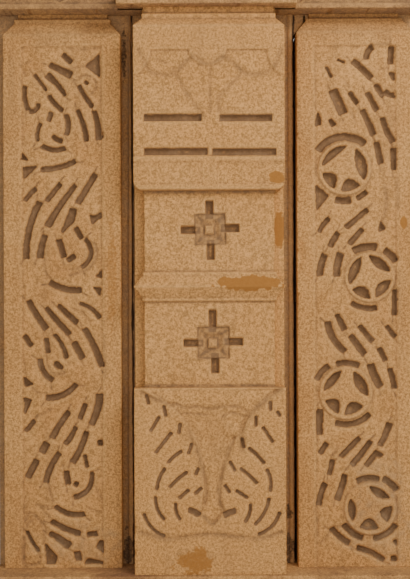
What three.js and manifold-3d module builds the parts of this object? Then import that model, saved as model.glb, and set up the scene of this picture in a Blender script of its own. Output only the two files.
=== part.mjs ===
// Carved sandstone wall panel of three upright stones, standing on a ledge course under a broken cornice: a slab
// with a waving leaf scroll, a moulded pilaster with a vase of drooping foliage, and a slab with star roundels.
// Millimetres, +Z up. The origin is the middle of the underside, and the carved front faces -Y.

import * as THREE from 'three';
import { mergeVertices } from 'three/addons/utils/BufferGeometryUtils.js';
import Module from 'manifold-3d';

const wasm = await Module();
wasm.setup();

// Overall block
const WIDTH = 1043;
const HEIGHT = 1440;
const THICKNESS = 220;
const HALF = WIDTH / 2; // both ends are cut square in the floor of the next channel
const BED = 0.3; // hairline between a course and the stones it touches

// Depths are measured back from the front plane of the pilaster
const LEDGE_FRONT = -10;
const BACK = THICKNESS + LEDGE_FRONT;
const SLAB_FACE = 75; // faces of the two side slabs
const STRIP_FACE = 50; // set-back edges of the pilaster's shaft
const BLOCK_FACE = 22; // faces of the two cross blocks
const CHANNEL_FACE = 120; // floors of the two upright channels
const TENON = 10; // how far one form runs into the next behind it
const CLEAR = 2; // how far in front of a face its cuts begin

// Heights
const LEDGE_TOP = 36;
const SOFFIT = 1407;
const BOTTOM_BED = LEDGE_TOP + BED;
const TOP_BED = SOFFIT - BED;

// Plan: where each upright stone starts and ends
const JOINT = 4.5;
const PILASTER = { axis: 5, half: 182.5 };
const SCROLL_SLAB = { left: -502.5, right: -213, fieldCentre: -358, fieldHalf: 99.5 };
const STAR_SLAB = { left: 222, right: 511, fieldCentre: 366.5, fieldHalf: 101 };

// Carving
const FIELD_TOP = 1322;
const FIELD_BOTTOM = LEDGE_TOP - 5; // the field runs down to the bed
const FIELD_SINK = 3; // field below its plain frame
const SLOT_DEPTH = 15; // slots below the ground they are cut in
const SLOT_FLOOR = SLAB_FACE + FIELD_SINK + SLOT_DEPTH;
const LEAF_SLOT_DEPTH = 11; // finer slots in the foliage of the vase
const CORNER_NIP = 0.26; // how much of a slot's width its worn corners take

const STONE = { scroll: 0xb98d60, pilaster: 0xbd9163, star: 0xb68b5f, cornice: 0xa87e54, ledge: 0x9b7048 };

const planeY = (depth) => depth - LEDGE_FRONT - THICKNESS / 2;

// ---- Solids ----------------------------------------------------------------------------------------------

function solidOf(geometry) {
  geometry.deleteAttribute('normal');
  geometry.deleteAttribute('uv');
  const merged = mergeVertices(geometry, 1e-4);
  const mesh = new wasm.Mesh({
    numProp: 3,
    vertProperties: new Float32Array(merged.attributes.position.array),
    triVerts: new Uint32Array(merged.index.array),
  });
  return new wasm.Manifold(mesh);
}

const points = (pairs) => pairs.map(([a, b]) => new THREE.Vector2(a, b));

// An outline in X and Z, as thick as from one depth to another
function upright(outline, front, back) {
  const options = { depth: back - front, bevelEnabled: false };
  const geometry = new THREE.ExtrudeGeometry(new THREE.Shape(outline), options);
  geometry.rotateX(Math.PI / 2);
  geometry.translate(0, planeY(back), 0);
  return solidOf(geometry);
}

// A profile of [depth, z] pairs, run from one X to another
function endwise(profile, left, right) {
  const outline = points(profile.map(([depth, z]) => [planeY(depth), z]));
  const options = { depth: right - left, bevelEnabled: false };
  const geometry = new THREE.ExtrudeGeometry(new THREE.Shape(outline), options);
  geometry.rotateX(Math.PI / 2);
  geometry.rotateZ(Math.PI / 2);
  geometry.translate(left, 0, 0);
  return solidOf(geometry);
}

function block(left, right, front, back, bottom, top) {
  const geometry = new THREE.BoxGeometry(right - left, back - front, top - bottom);
  geometry.translate((left + right) / 2, (planeY(front) + planeY(back)) / 2, (bottom + top) / 2);
  return solidOf(geometry);
}

// Mouldings mitred round three sides: stations of { z, inset, setback } from the bottom up
function moulded(left, right, stations, back) {
  const up = stations.map(({ z, inset }) => [left + inset, z]);
  const down = stations.map(({ z, inset }) => [right - inset, z]).reverse();
  const profile = stations.map(({ z, setback }) => [setback, z]);
  const lowest = stations[0].z;
  const highest = stations[stations.length - 1].z;
  const front = Math.min(...stations.map(({ setback }) => setback));
  const outline = upright(points([...up, ...down]), front, back);
  return outline.intersect(endwise([...profile, [back, highest], [back, lowest]], left, right));
}

const station = (z, inset, setback) => ({ z, inset, setback });
const joined = (first, ...others) => others.reduce((whole, other) => whole.add(other), first);
const carved = (stone, cuts) => cuts.reduce((left, cut) => left.subtract(cut), stone);

function stoneMesh(name, solid, colour) {
  const { vertProperties, triVerts } = solid.getMesh();
  const geometry = new THREE.BufferGeometry();
  geometry.setAttribute('position', new THREE.BufferAttribute(vertProperties, 3));
  geometry.setIndex(new THREE.BufferAttribute(triVerts, 1));
  geometry.computeVertexNormals();
  const material = new THREE.MeshStandardMaterial({ color: colour, roughness: 0.92, metalness: 0 });
  const mesh = new THREE.Mesh(geometry, material);
  mesh.name = name;
  return mesh;
}

// ---- Cuts ------------------------------------------------------------------------------------------------

// A slot's outline: a ribbon along a curve between two of its parameters, with nipped corners
function ribbon(curve, start, end, width, tip, steps) {
  const near = [];
  const far = [];
  const put = (t, along, across) => {
    const spread = width + (tip - width) * t;
    const centre = curve.getPoint(t);
    const tangent = curve.getTangent(t);
    const normal = new THREE.Vector2(-tangent.y, tangent.x).multiplyScalar(across * spread);
    const base = centre.clone().addScaledVector(tangent, along * spread * CORNER_NIP);
    near.push(base.clone().add(normal));
    far.push(base.clone().sub(normal));
  };
  put(start, 0, 0.5 - CORNER_NIP);
  put(start, 1, 0.5);
  for (let i = 1; i < steps; i += 1) put(start + ((end - start) * i) / steps, 0, 0.5);
  put(end, -1, 0.5);
  put(end, 0, 0.5 - CORNER_NIP);
  return [...near, ...far.reverse()];
}

// One sweep of the chisel from one point to another, bowed to the right of its way, and left uncut at its ties.
// A row is [u, v, u, v, bow, width, tip, ...ties], and a tie is [from, to] in parts of the sweep.
function sweepOutlines([u0, v0, u1, v1, bow, width, tip, ...ties]) {
  const from = new THREE.Vector2(u0, v0);
  const to = new THREE.Vector2(u1, v1);
  const chord = to.clone().sub(from).normalize();
  const middle = from.clone().add(to).multiplyScalar(0.5);
  const control = middle.add(new THREE.Vector2(chord.y, -chord.x).multiplyScalar(2 * bow));
  const curve = new THREE.QuadraticBezierCurve(from, control, to);
  const starts = [0, ...ties.map((tie) => tie[1])];
  const ends = [...ties.map((tie) => tie[0]), 1];
  const steps = Math.min(6, 1 + Math.ceil(Math.abs(bow) / (3 * starts.length)));
  return starts.map((start, i) => ribbon(curve, start, ends[i], width, tip, steps));
}

// A slot that hugs a roundel, between two angles in degrees
function hugOutline({ u, v, outer }, [fromDeg, toDeg, gap, width]) {
  const from = THREE.MathUtils.degToRad(fromDeg);
  const to = THREE.MathUtils.degToRad(toDeg);
  const radius = outer + gap + width / 2;
  const curve = new THREE.EllipseCurve(u, v, radius, radius, from, to);
  const steps = Math.max(2, Math.round(Math.abs(toDeg - fromDeg) / 15));
  return ribbon(curve, 0, 1, width, width, steps);
}

// The hollow between two arms of a star: the ring bounds it outside, the arms meet at a waist inside
function starHollow({ u, v, inner }, [fromDeg, toDeg, waist]) {
  const from = THREE.MathUtils.degToRad(fromDeg);
  const to = THREE.MathUtils.degToRad(toDeg);
  const middle = (from + to) / 2;
  const at = (radius, angle) => new THREE.Vector2(u + radius * Math.cos(angle), v + radius * Math.sin(angle));
  const steps = Math.max(3, Math.round(Math.abs(toDeg - fromDeg) / 14));
  const rim = Array.from({ length: steps + 1 }, (_, i) => at(inner, from + ((to - from) * i) / steps));
  const chordMiddle = inner * Math.cos((to - from) / 2);
  const waistControl = at(2 * waist - chordMiddle, middle);
  const arms = new THREE.QuadraticBezierCurve(at(inner, to), waistControl, at(inner, from));
  return [...rim, ...arms.getPoints(4).slice(1, -1)];
}

function disc({ u, v, outer }, front, back, sides = 40) {
  const outline = new THREE.EllipseCurve(u, v, outer, outer).getPoints(sides).slice(0, -1);
  return upright(outline, front, back);
}

const shifted = (outline, u, v) => outline.map((point) => new THREE.Vector2(point.x + u, point.y + v));

function pockets(outlines, u, v, face, floor) {
  return outlines.map((outline) => upright(shifted(outline, u, v), face - CLEAR, floor));
}

// ---- Side slabs ------------------------------------------------------------------------------------------

const NECK = {
  rise: 32, // height of the chamfer
  chamferInset: 25,
  chamferSetback: 22,
  filletInset: 33,
  filletSetback: 32,
  filletDrop: 13, // from the soffit down to the fillet
};
const SCROLL_CHAMFER = 1351;
const STAR_CHAMFER = 1356;

function slabFace({ left, right }, chamferBottom) {
  const { rise, chamferInset, chamferSetback, filletInset, filletSetback, filletDrop } = NECK;
  const stations = [
    station(BOTTOM_BED, 0, SLAB_FACE),
    station(chamferBottom, 0, SLAB_FACE),
    station(chamferBottom + rise, chamferInset, SLAB_FACE + chamferSetback),
    station(SOFFIT - filletDrop, chamferInset, SLAB_FACE + chamferSetback),
    station(SOFFIT - filletDrop, filletInset, SLAB_FACE + filletSetback),
    station(TOP_BED, filletInset, SLAB_FACE + filletSetback),
  ];
  return moulded(left, right, stations, CHANNEL_FACE + TENON);
}

// The plain stone behind the faces, whose front is the floor of the channels. Its edges are [x, z] from the foot
// up, because the joint beside a neck leans in with it.
function channelCore(leftEdge, rightEdge) {
  return upright(points([...leftEdge, ...rightEdge.slice().reverse()]), CHANNEL_FACE, BACK);
}

const straightEdge = (x) => [[x, BOTTOM_BED], [x, TOP_BED]];

function pilasterNeckEdge(x) {
  const inner = x + HEAD.chamferInset;
  return [[x, BOTTOM_BED], [x, HEAD.chamferBottom], [inner, HEAD.chamferTop], [inner, TOP_BED]];
}

function starNeckEdge(x) {
  const inner = x + NECK.chamferInset;
  return [[x, BOTTOM_BED], [x, STAR_CHAMFER], [inner, STAR_CHAMFER + NECK.rise], [inner, TOP_BED]];
}

function sunkField({ fieldCentre, fieldHalf }) {
  const sides = [fieldCentre - fieldHalf, fieldCentre + fieldHalf];
  return block(...sides, SLAB_FACE - CLEAR, SLAB_FACE + FIELD_SINK, FIELD_BOTTOM, FIELD_TOP);
}

// Heights of the carving are above the ledge, widths from the middle of the field
const CARVING_FOOT = LEDGE_TOP;

// ---- Left slab: the waving scroll ------------------------------------------------------------------------

// Each turn of the scroll is a bundle of parallel stems that ends in a leaf curl. Rows are sweeps, see above.
const SCROLL_TURNS = [
  {
    foot: 960,
    sweeps: [
      [1, 309, 26, 284, 0, 12, 12],
      [-33, 293, 26, 250, -2, 7, 20],
      [-38, 259, 59, 90, -12, 17, 12, [0.3, 0.52]],
      [-67, 257, -38, 218, 0, 7, 7],
      [-33, 207, 6, 105, -20, 12, 12, [0.47, 0.53]],
      [-26, 166, -31, 139, 2, 12, 12],
      [-25, 107, 1, 91, 2, 12, 12],
      [-51, 137, -58, 91, 6, 7, 7],
      [-48, 81, 8, 78, 12, 12, 12],
      [-53, 21, 33, 45, 10, 12, 12],
      [-92, 231, -85, 169, 5, 11, 11],
      [-81, 166, -58, 186, 7, 11, 10],
      [39, 231, 94, 97, -14, 12, 16, [0.45, 0.5]],
    ],
    wedges: [
      [[60, 279], [93, 309], [94, 250]],
      [[-99, 66], [-101, 47], [-83, 45]],
      [[-97, 29], [-61, 31], [-95, -3]],
    ],
  },
  {
    foot: 660,
    sweeps: [
      [-68, 277, -92, 245, 2, 10, 10],
      [-2, 289, -40, 243, -2, 12, 12],
      [35, 286, -56, 99, 15, 14, 16, [0.58, 0.68]],
      [82, 311, 38, 239, 0, 15, 15],
      [-59, 241, -89, 98, 7, 16, 14],
      [-10, 151, -1, 107, 0, 17, 17],
      [32, 179, 48, 153, 0, 12, 12],
      [54, 151, 48, 78, -18, 11, 11],
      [11, 96, 32, 108, 0, 12, 12],
      [-32, 44, 47, 25, 7, 14, 14],
    ],
    wedges: [
      [[19, 227], [36, 225], [31, 196], [3, 167], [-4, 168]],
      [[67, 211], [96, 215], [74, 185]],
      [[80, 57], [96, 73], [96, 54]],
      [[77, 30], [94, 30], [92, 9]],
    ],
  },
  {
    foot: 420,
    sweeps: [
      [-87, 241, -36, 167, -2, 14, 14],
      [-42, 222, 19, 154, -2, 12, 12],
      [-13, 231, 38, 182, -2, 12, 12],
      [39, 233, 94, 193, -7, 10, 10],
      [-21, 156, 10, 94, -5, 10, 10],
      [23, 138, 50, 93, 0, 15, 15],
      [50, 170, 98, 73, -7, 12, 12],
      [-95, 153, -76, 125, 0, 12, 12],
      [-41, 146, -35, 108, 0, 12, 12],
      [-21, 87, 1, 70, 0, 15, 15],
      [-57, 97, -23, 39, 7, 12, 12],
      [-43, 2, 33, 33, 7, 12, 12],
    ],
    wedges: [[[-97, 53], [-75, 35], [-95, 25]]],
  },
  {
    foot: 125,
    sweeps: [
      [-68, 240, -94, 212, 0, 10, 10],
      [19, 263, -88, 96, 7, 14, 17, [0.44, 0.53], [0.66, 0.73]],
      [58, 282, 39, 238, 0, 11, 11],
      [33, 222, -44, 80, 17, 12, 15, [0.36, 0.43]],
      [90, 302, 69, 225, 0, 16, 16],
      [61, 211, 20, 130, 4, 14, 14],
      [53, 153, 59, 121, 0, 9, 9],
      [8, 113, 11, 77, 0, 15, 15],
      [69, 111, 4, 53, -20, 11, 11],
      [-21, 27, 54, 8, 10, 12, 12],
      [86, 182, 97, 182, 0, 14, 14],
    ],
    wedges: [[[-97, 295], [-76, 289], [-95, 250]]],
  },
  {
    foot: 0,
    sweeps: [
      [-30, 116, 83, 81, 11, 15, 12, [0.67, 0.78]],
      [-37, 86, 16, 47, -2, 12, 20],
      [-91, 92, -62, 38, 5, 7, 7],
      [32, 38, 39, 15, 0, 16, 16],
    ],
    wedges: [
      [[-46, 60], [-15, 26], [-21, 9], [-40, 9]],
      [[60, 22], [97, 11], [51, 10]],
      [[91, 66], [98, 66], [98, 34], [80, 49]],
    ],
  },
];

function scrollSlab() {
  const { fieldCentre } = SCROLL_SLAB;
  const core = channelCore(straightEdge(-HALF), pilasterNeckEdge(PILASTER.axis - PILASTER.half - JOINT));
  const body = core.add(slabFace(SCROLL_SLAB, SCROLL_CHAMFER));
  const cuts = SCROLL_TURNS.flatMap(({ foot, sweeps, wedges }) => {
    const outlines = [...sweeps.flatMap(sweepOutlines), ...wedges.map(points)];
    return pockets(outlines, fieldCentre, CARVING_FOOT + foot, SLAB_FACE, SLOT_FLOOR);
  });
  return carved(body, [sunkField(SCROLL_SLAB), ...cuts]);
}

// ---- Right slab: four star roundels among tendrils -------------------------------------------------------

// hollows: [from, to, waist] round the star. hugs: [from, to, gap, width] round the outside of the ring.
const ROUNDELS = [
  {
    u: -27, v: 982, outer: 67, inner: 56,
    hollows: [[84, 174, 38], [-31, 60, 29], [-99, -47, 27], [192, 243, 27]],
    hugs: [[54, 146, 7, 17], [-107, -78, 10, 14], [-62, -46, 10, 10]],
  },
  {
    u: 34, v: 714, outer: 63, inner: 53,
    hollows: [[113, 201, 30], [14, 92, 30], [-74, -8, 28], [215, 272, 27]],
    hugs: [[78, 120, 3, 15], [31, 60, 8, 14], [-126, -78, 7, 11]],
  },
  {
    u: -26, v: 429, outer: 67, inner: 55,
    hollows: [[101, 176, 35], [-9, 69, 29], [-93, -38, 27], [201, 250, 27]],
    hugs: [[124, 156, 4, 14], [64, 106, 0, 14], [-110, -40, 9, 12]],
  },
  {
    u: 33, v: 143, outer: 66, inner: 54,
    hollows: [[26, 92, 33], [153, 217, 35], [-40, 5, 25], [-120, -68, 25]],
    hugs: [[74, 115, 3, 14], [33, 66, 7, 15], [-148, -102, 5, 12], [-84, -33, 3, 13]],
  },
];

const TENDRILS = [
  {
    foot: 960,
    sweeps: [
      [52, 322, 26, 291, 0, 12, 12],
      [90, 323, 87, 279, 0, 14, 14],
      [-45, 292, -25, 284, 0, 5, 5],
      [-72, 274, -58, 247, 0, 6, 6],
      [-6, 288, 97, 202, 7, 15, 15, [0.46, 0.54], [0.75, 0.78]],
      [-56, 219, -25, 156, 0, 23, 23],
      [-15, 213, 65, 30, -12, 12, 15, [0.2, 0.27], [0.61, 0.7]],
      [28, 208, 93, 15, -17, 15, 12, [0.25, 0.34], [0.64, 0.73]],
      [-65, 145, -51, 127, 0, 10, 10],
    ],
    wedges: [
      [[82, 259], [98, 259], [98, 240]],
      [[-94, 164], [-85, 129], [-98, 128]],
      [[-99, -16], [-66, -44], [-96, -83]],
    ],
  },
  {
    foot: 700,
    sweeps: [
      [-64, 160, -90, 124, 0, 10, 10],
      [31, 182, -90, 15, 20, 11, 16, [0.37, 0.45], [0.66, 0.72]],
      [19, 133, -47, 15, 15, 11, 16, [0.38, 0.49]],
    ],
    wedges: [[[62, 153], [75, 132], [55, 125]]],
  },
  {
    foot: 420,
    sweeps: [
      [92, 260, 91, 198, 0, 14, 14],
      [74, 173, 97, 146, 0, 11, 11],
      [-51, 203, 27, 100, 0, 12, 16, [0.42, 0.5]],
      [-70, 184, -18, 106, 12, 15, 15],
      [8, 177, 46, 132, 0, 12, 12],
      [56, 118, 94, 16, -7, 12, 14, [0.35, 0.5]],
      [33, 80, 61, 21, 0, 20, 20],
      [-92, -34, -92, -94, 0, 12, 12],
    ],
    wedges: [],
  },
  {
    foot: 140,
    sweeps: [
      [-70, 167, -93, 136, 0, 12, 12],
      [8, 177, -40, 130, 2, 12, 12],
      [37, 170, -52, 21, 12, 12, 15, [0.46, 0.55]],
      [84, 214, 19, 104, -2, 14, 14, [0.52, 0.66]],
      [-59, 121, -69, 85, 0, 11, 11],
      [-76, 65, -95, 10, 2, 12, 12],
      [-66, -45, 66, -124, 7, 12, 12, [0.43, 0.52]],
      [82, -122, 98, -122, 0, 16, 16],
    ],
    wedges: [],
  },
];

function starSlab() {
  const { fieldCentre, left } = STAR_SLAB;
  const tendrilCuts = TENDRILS.flatMap(({ foot, sweeps, wedges }) => {
    const outlines = [...sweeps.flatMap(sweepOutlines), ...wedges.map(points)];
    return pockets(outlines, fieldCentre, CARVING_FOOT + foot, SLAB_FACE, SLOT_FLOOR);
  });
  const hugCuts = ROUNDELS.flatMap((ring) => {
    const outlines = ring.hugs.map((hug) => hugOutline(ring, hug));
    return pockets(outlines, fieldCentre, CARVING_FOOT, SLAB_FACE, SLOT_FLOOR);
  });
  const hollowCuts = ROUNDELS.flatMap((ring) => {
    const outlines = ring.hollows.map((hollow) => starHollow(ring, hollow));
    return pockets(outlines, fieldCentre, CARVING_FOOT, SLAB_FACE, SLOT_FLOOR);
  });
  const discs = ROUNDELS.map(({ u, v, outer }) => {
    const place = { u: u + fieldCentre, v: v + CARVING_FOOT, outer };
    return disc(place, SLAB_FACE, SLOT_FLOOR + TENON);
  });
  const core = channelCore(starNeckEdge(left), straightEdge(HALF));
  const slab = core.add(slabFace(STAR_SLAB, STAR_CHAMFER));
  const ground = carved(slab, [sunkField(STAR_SLAB), ...tendrilCuts, ...hugCuts]);
  return carved(joined(ground, ...discs), hollowCuts);
}

// ---- Pilaster --------------------------------------------------------------------------------------------

const SHAFT = {
  blockInset: 24.5, // cross blocks stand in from the full width on both sides
  filletInset: 20,
  filletFace: 16,
  footTop: 484.5,
  lowerFillet: [693.5, 700.5],
  knifeEdge: 728.2,
  upperFillet: [755.8, 763],
  headBottom: 960,
};

const HEAD = {
  cornerRadius: 22,
  filletAngle: 68, // how far up its rounded corner the bottom fillet reaches
  bandTop: 1029,
  beadTop: 1041,
  valanceBottom: 1298,
  chamferBottom: 1356,
  chamferTop: 1377,
  chamferInset: 20,
  chamferSetback: 22,
  filletBottom: 1390,
  filletInset: 24,
  filletSetback: 28,
  bandSink: 2,
  fieldSink: 4,
};

// The lower corners of the head block are rounded in a quarter circle
function headCorner(fromDeg, toDeg, setback) {
  const steps = 3;
  return Array.from({ length: steps + 1 }, (_, i) => {
    const angle = THREE.MathUtils.degToRad(fromDeg + ((toDeg - fromDeg) * i) / steps);
    const rise = HEAD.cornerRadius * (1 - Math.cos(angle));
    return station(SHAFT.headBottom + rise, HEAD.cornerRadius * (1 - Math.sin(angle)), setback);
  });
}

function pilasterStations() {
  const { blockInset, filletInset, filletFace, footTop, lowerFillet, knifeEdge, upperFillet } = SHAFT;
  return [
    station(BOTTOM_BED, 0, 0),
    station(footTop, 0, 0),
    station(footTop, blockInset, BLOCK_FACE),
    station(lowerFillet[0], blockInset, BLOCK_FACE),
    station(lowerFillet[0], filletInset, filletFace),
    station(lowerFillet[1], filletInset, filletFace),
    station(knifeEdge, 0, 0),
    station(upperFillet[0], filletInset, filletFace),
    station(upperFillet[1], filletInset, filletFace),
    station(upperFillet[1], blockInset, BLOCK_FACE),
    station(SHAFT.headBottom, blockInset, BLOCK_FACE),
    ...headCorner(0, HEAD.filletAngle, 0),
    ...headCorner(HEAD.filletAngle, 90, HEAD.bandSink),
    station(HEAD.bandTop, 0, HEAD.bandSink),
    station(HEAD.bandTop, 0, 0),
    station(HEAD.beadTop, 0, 0),
    station(HEAD.beadTop, 0, HEAD.fieldSink),
    station(HEAD.valanceBottom, 0, HEAD.fieldSink),
    station(HEAD.valanceBottom, 0, 0),
    station(HEAD.chamferBottom, 0, 0),
    station(HEAD.chamferTop, HEAD.chamferInset, HEAD.chamferSetback),
    station(HEAD.filletBottom, HEAD.chamferInset, HEAD.chamferSetback),
    station(HEAD.filletBottom, HEAD.filletInset, HEAD.filletSetback),
    station(TOP_BED, HEAD.filletInset, HEAD.filletSetback),
  ];
}

// Rounded tongues that hang from the valance and from the bead of the head block
const TONGUES = [
  { u: -3, top: HEAD.valanceBottom, width: 90, drop: 38, sink: HEAD.fieldSink },
  { u: -PILASTER.half, top: HEAD.valanceBottom, width: 84, drop: 60, sink: HEAD.fieldSink },
  { u: PILASTER.half, top: HEAD.valanceBottom, width: 84, drop: 60, sink: HEAD.fieldSink },
  { u: 0, top: 983, width: 33, drop: 17, root: HEAD.bandTop - 983, sink: HEAD.bandSink },
];

function tongue({ u, top, width, drop, root = TENON, sink }) {
  const centre = PILASTER.axis + u;
  const half = width / 2;
  const tip = new THREE.EllipseCurve(centre, top, half, drop, Math.PI, 2 * Math.PI).getPoints(12);
  const outline = [...tip, ...points([[centre + half, top + root], [centre - half, top + root]])];
  const left = PILASTER.axis - PILASTER.half;
  const right = PILASTER.axis + PILASTER.half;
  const limits = block(left, right, 0, sink + TENON, top - drop, top + root);
  return upright(outline, -CLEAR, sink + TENON).intersect(limits);
}

// Long slots of the head block, either side of the stem: [u, u, v, v] above the ledge
const HEAD_SLOTS = [
  [-156, -18, 1091, 1107],
  [26, 152, 1090, 1106],
  [-156, -4, 1009, 1025],
  [8, 161, 1008, 1024],
];

// Crosses cut into the two blocks of the shaft
const CROSSES = [
  { u: 3, v: 831, arms: { up: [32, -3], down: [37, 0], left: [35, -2], right: [32, 2] } },
  { u: 10, v: 556, arms: { up: [42, -3], down: [37, 3], left: [36, -1], right: [33, 2] } },
];
const CROSS = {
  side: 74, // square mouth of the hollow
  floorSide: 44,
  sink: 12,
  armWidth: 19,
  armDepth: 18,
  armRoot: 12, // how far the arms run back over the hollow's slopes
  boss: 20, // square boss left in the middle, a little off centre
  bossRise: 6,
  bossU: -3,
  bossV: -2,
};

function pyramidHollow(u, v, face) {
  const { side, floorSide, sink } = CROSS;
  const mouth = side + (CLEAR * (side - floorSide)) / sink;
  const radius = (size) => size / Math.SQRT2;
  const geometry = new THREE.CylinderGeometry(radius(floorSide), radius(mouth), sink + CLEAR, 4, 1);
  geometry.rotateY(Math.PI / 4);
  geometry.translate(PILASTER.axis + u, planeY(face) + (sink - CLEAR) / 2, CARVING_FOOT + v);
  return solidOf(geometry);
}

function crossCuts({ u, v, arms }) {
  const half = CROSS.side / 2;
  const wide = CROSS.armWidth / 2;
  const reach = half - CROSS.armRoot;
  const { up, down, left, right } = arms;
  const sides = [
    [up[1] - wide, up[1] + wide, reach, half + up[0]],
    [down[1] - wide, down[1] + wide, -half - down[0], -reach],
    [-half - left[0], -reach, left[1] - wide, left[1] + wide],
    [reach, half + right[0], right[1] - wide, right[1] + wide],
  ];
  const armBlocks = sides.map(([u0, u1, v0, v1]) => {
    const centre = PILASTER.axis + u;
    const height = CARVING_FOOT + v;
    const armFloor = BLOCK_FACE + CROSS.armDepth;
    return block(centre + u0, centre + u1, BLOCK_FACE - CLEAR, armFloor, height + v0, height + v1);
  });
  return [pyramidHollow(u, v, BLOCK_FACE), ...armBlocks];
}

function crossBoss({ u, v }) {
  const { boss, bossRise, bossU, bossV, sink } = CROSS;
  const half = boss / 2;
  const centre = PILASTER.axis + u + bossU;
  const height = CARVING_FOOT + v + bossV;
  const floor = BLOCK_FACE + sink;
  return block(centre - half, centre + half, floor - bossRise, floor + TENON, height - half, height + half);
}

// The vase: a body sunk a little below the leaves that droop over it on both sides. Flanks run from the top down.
const VASE_SINK = 4;
const VASE_LEFT = [[-156, 447], [-118, 422], [-84, 398], [-47, 351], [-27, 305], [-15, 236], [-22, 150]];
const VASE_RIGHT = [[168, 445], [134, 422], [96, 388], [74, 338], [46, 313], [28, 242], [18, 190], [32, 148]];
const VASE_FOOT = [10, 118];

function vaseOutline() {
  const flank = (pairs) => new THREE.SplineCurve(points(pairs)).getPoints(18);
  return [...flank(VASE_LEFT), new THREE.Vector2(...VASE_FOOT), ...flank(VASE_RIGHT).reverse()];
}

// Slots between the ribs of the drooping leaves, as sweeps
const LEAF_SLOTS = [
  // left leaf
  [-154, 433, -147, 409, 0, 8, 8],
  [-112, 406, -106, 380, 0, 8, 8],
  [-72, 364, -76, 338, 0, 8, 8],
  [-122, 380, -144, 344, 0, 8, 8],
  [-93, 342, -132, 292, 0, 8, 8],
  [-68, 297, -103, 268, 2, 8, 8],
  [-108, 256, -129, 203, 5, 8, 8],
  [-132, 188, -110, 131, 7, 8, 8],
  [-44, 316, -53, 289, 0, 8, 8],
  [-55, 247, -99, 209, 2, 8, 8],
  [-28, 257, -36, 239, 0, 8, 8],
  [-51, 204, -76, 183, 0, 8, 8],
  [-20, 209, -38, 193, 0, 8, 8],
  [-83, 172, -72, 131, 5, 8, 8],
  [-160, 147, -109, 92, 10, 8, 8],
  // right leaf
  [145, 416, 145, 393, 0, 8, 8],
  [110, 381, 110, 355, 0, 8, 8],
  [161, 392, 168, 379, 0, 7, 7],
  [126, 354, 151, 317, 0, 8, 8],
  [76, 328, 81, 303, 0, 8, 8],
  [92, 304, 130, 266, -2, 8, 8],
  [135, 253, 143, 198, -6, 8, 8],
  [141, 184, 106, 119, -7, 8, 8],
  [46, 272, 60, 248, 0, 8, 8],
  [71, 255, 113, 218, -2, 8, 8],
  [34, 215, 47, 196, 0, 8, 8],
  [61, 202, 90, 183, 0, 8, 8],
  [96, 170, 82, 125, -5, 8, 8],
  [167, 150, 114, 95, -10, 8, 8],
  // curls at the tips of the leaves
  [-54, 155, -26, 141, -3, 15, 15],
  [62, 152, 32, 139, 3, 15, 15],
];

function pilaster() {
  const { axis, half } = PILASTER;
  const left = axis - half;
  const right = axis + half;
  const core = channelCore(pilasterNeckEdge(left), starNeckEdge(STAR_SLAB.left - JOINT));
  const strips = [
    station(BOTTOM_BED, 0, STRIP_FACE),
    station(HEAD.chamferBottom, 0, STRIP_FACE),
    station(HEAD.chamferTop, HEAD.chamferInset, STRIP_FACE),
    station(TOP_BED, HEAD.chamferInset, STRIP_FACE),
  ];
  const shaft = moulded(left, right, strips, CHANNEL_FACE + TENON);
  const front = moulded(left, right, pilasterStations(), STRIP_FACE + TENON);
  const body = joined(core, shaft, front, ...TONGUES.map(tongue));
  const slots = HEAD_SLOTS.map(([u0, u1, v0, v1]) => {
    const floor = HEAD.fieldSink + SLOT_DEPTH;
    return block(axis + u0, axis + u1, HEAD.fieldSink - CLEAR, floor, CARVING_FOOT + v0, CARVING_FOOT + v1);
  });
  const vase = pockets([vaseOutline()], axis, CARVING_FOOT, 0, VASE_SINK);
  const leaves = pockets(LEAF_SLOTS.flatMap(sweepOutlines), axis, CARVING_FOOT, 0, LEAF_SLOT_DEPTH);
  const cut = carved(body, [...slots, ...CROSSES.flatMap(crossCuts), ...vase, ...leaves]);
  return joined(cut, ...CROSSES.map(crossBoss));
}

// ---- Courses ---------------------------------------------------------------------------------------------

const CORNICE = {
  sideFront: 47,
  centreFront: -6, // broken forward over the pilaster
  breakHalf: 217,
  filletHeight: 13,
  slopeHeight: 3,
  upperSetback: 6,
};

function corniceBlock(left, right, front) {
  const { filletHeight, slopeHeight, upperSetback } = CORNICE;
  const profile = [
    [front, SOFFIT],
    [front, SOFFIT + filletHeight],
    [front + upperSetback, SOFFIT + filletHeight + slopeHeight],
    [front + upperSetback, HEIGHT],
    [BACK, HEIGHT],
    [BACK, SOFFIT],
  ];
  return endwise(profile, left, right);
}

function cornice() {
  const { sideFront, centreFront, breakHalf } = CORNICE;
  const sides = corniceBlock(-HALF, HALF, sideFront);
  return sides.add(corniceBlock(-breakHalf, breakHalf, centreFront));
}

function ledge() {
  return block(-HALF, HALF, LEDGE_FRONT, BACK, 0, LEDGE_TOP);
}

// ---- The panel -------------------------------------------------------------------------------------------

const panel = new THREE.Group();
panel.add(
  stoneMesh('scroll_slab', scrollSlab(), STONE.scroll),
  stoneMesh('pilaster', pilaster(), STONE.pilaster),
  stoneMesh('star_slab', starSlab(), STONE.star),
  stoneMesh('cornice', cornice(), STONE.cornice),
  stoneMesh('ledge', ledge(), STONE.ledge),
);

export default panel;
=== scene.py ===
"""Looks of the carved sandstone wall panel: three upright stones under a cornice, on a ledge."""

import math

import bpy
import numpy as np
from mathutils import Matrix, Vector
from mathutils.bvhtree import BVHTree


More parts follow.
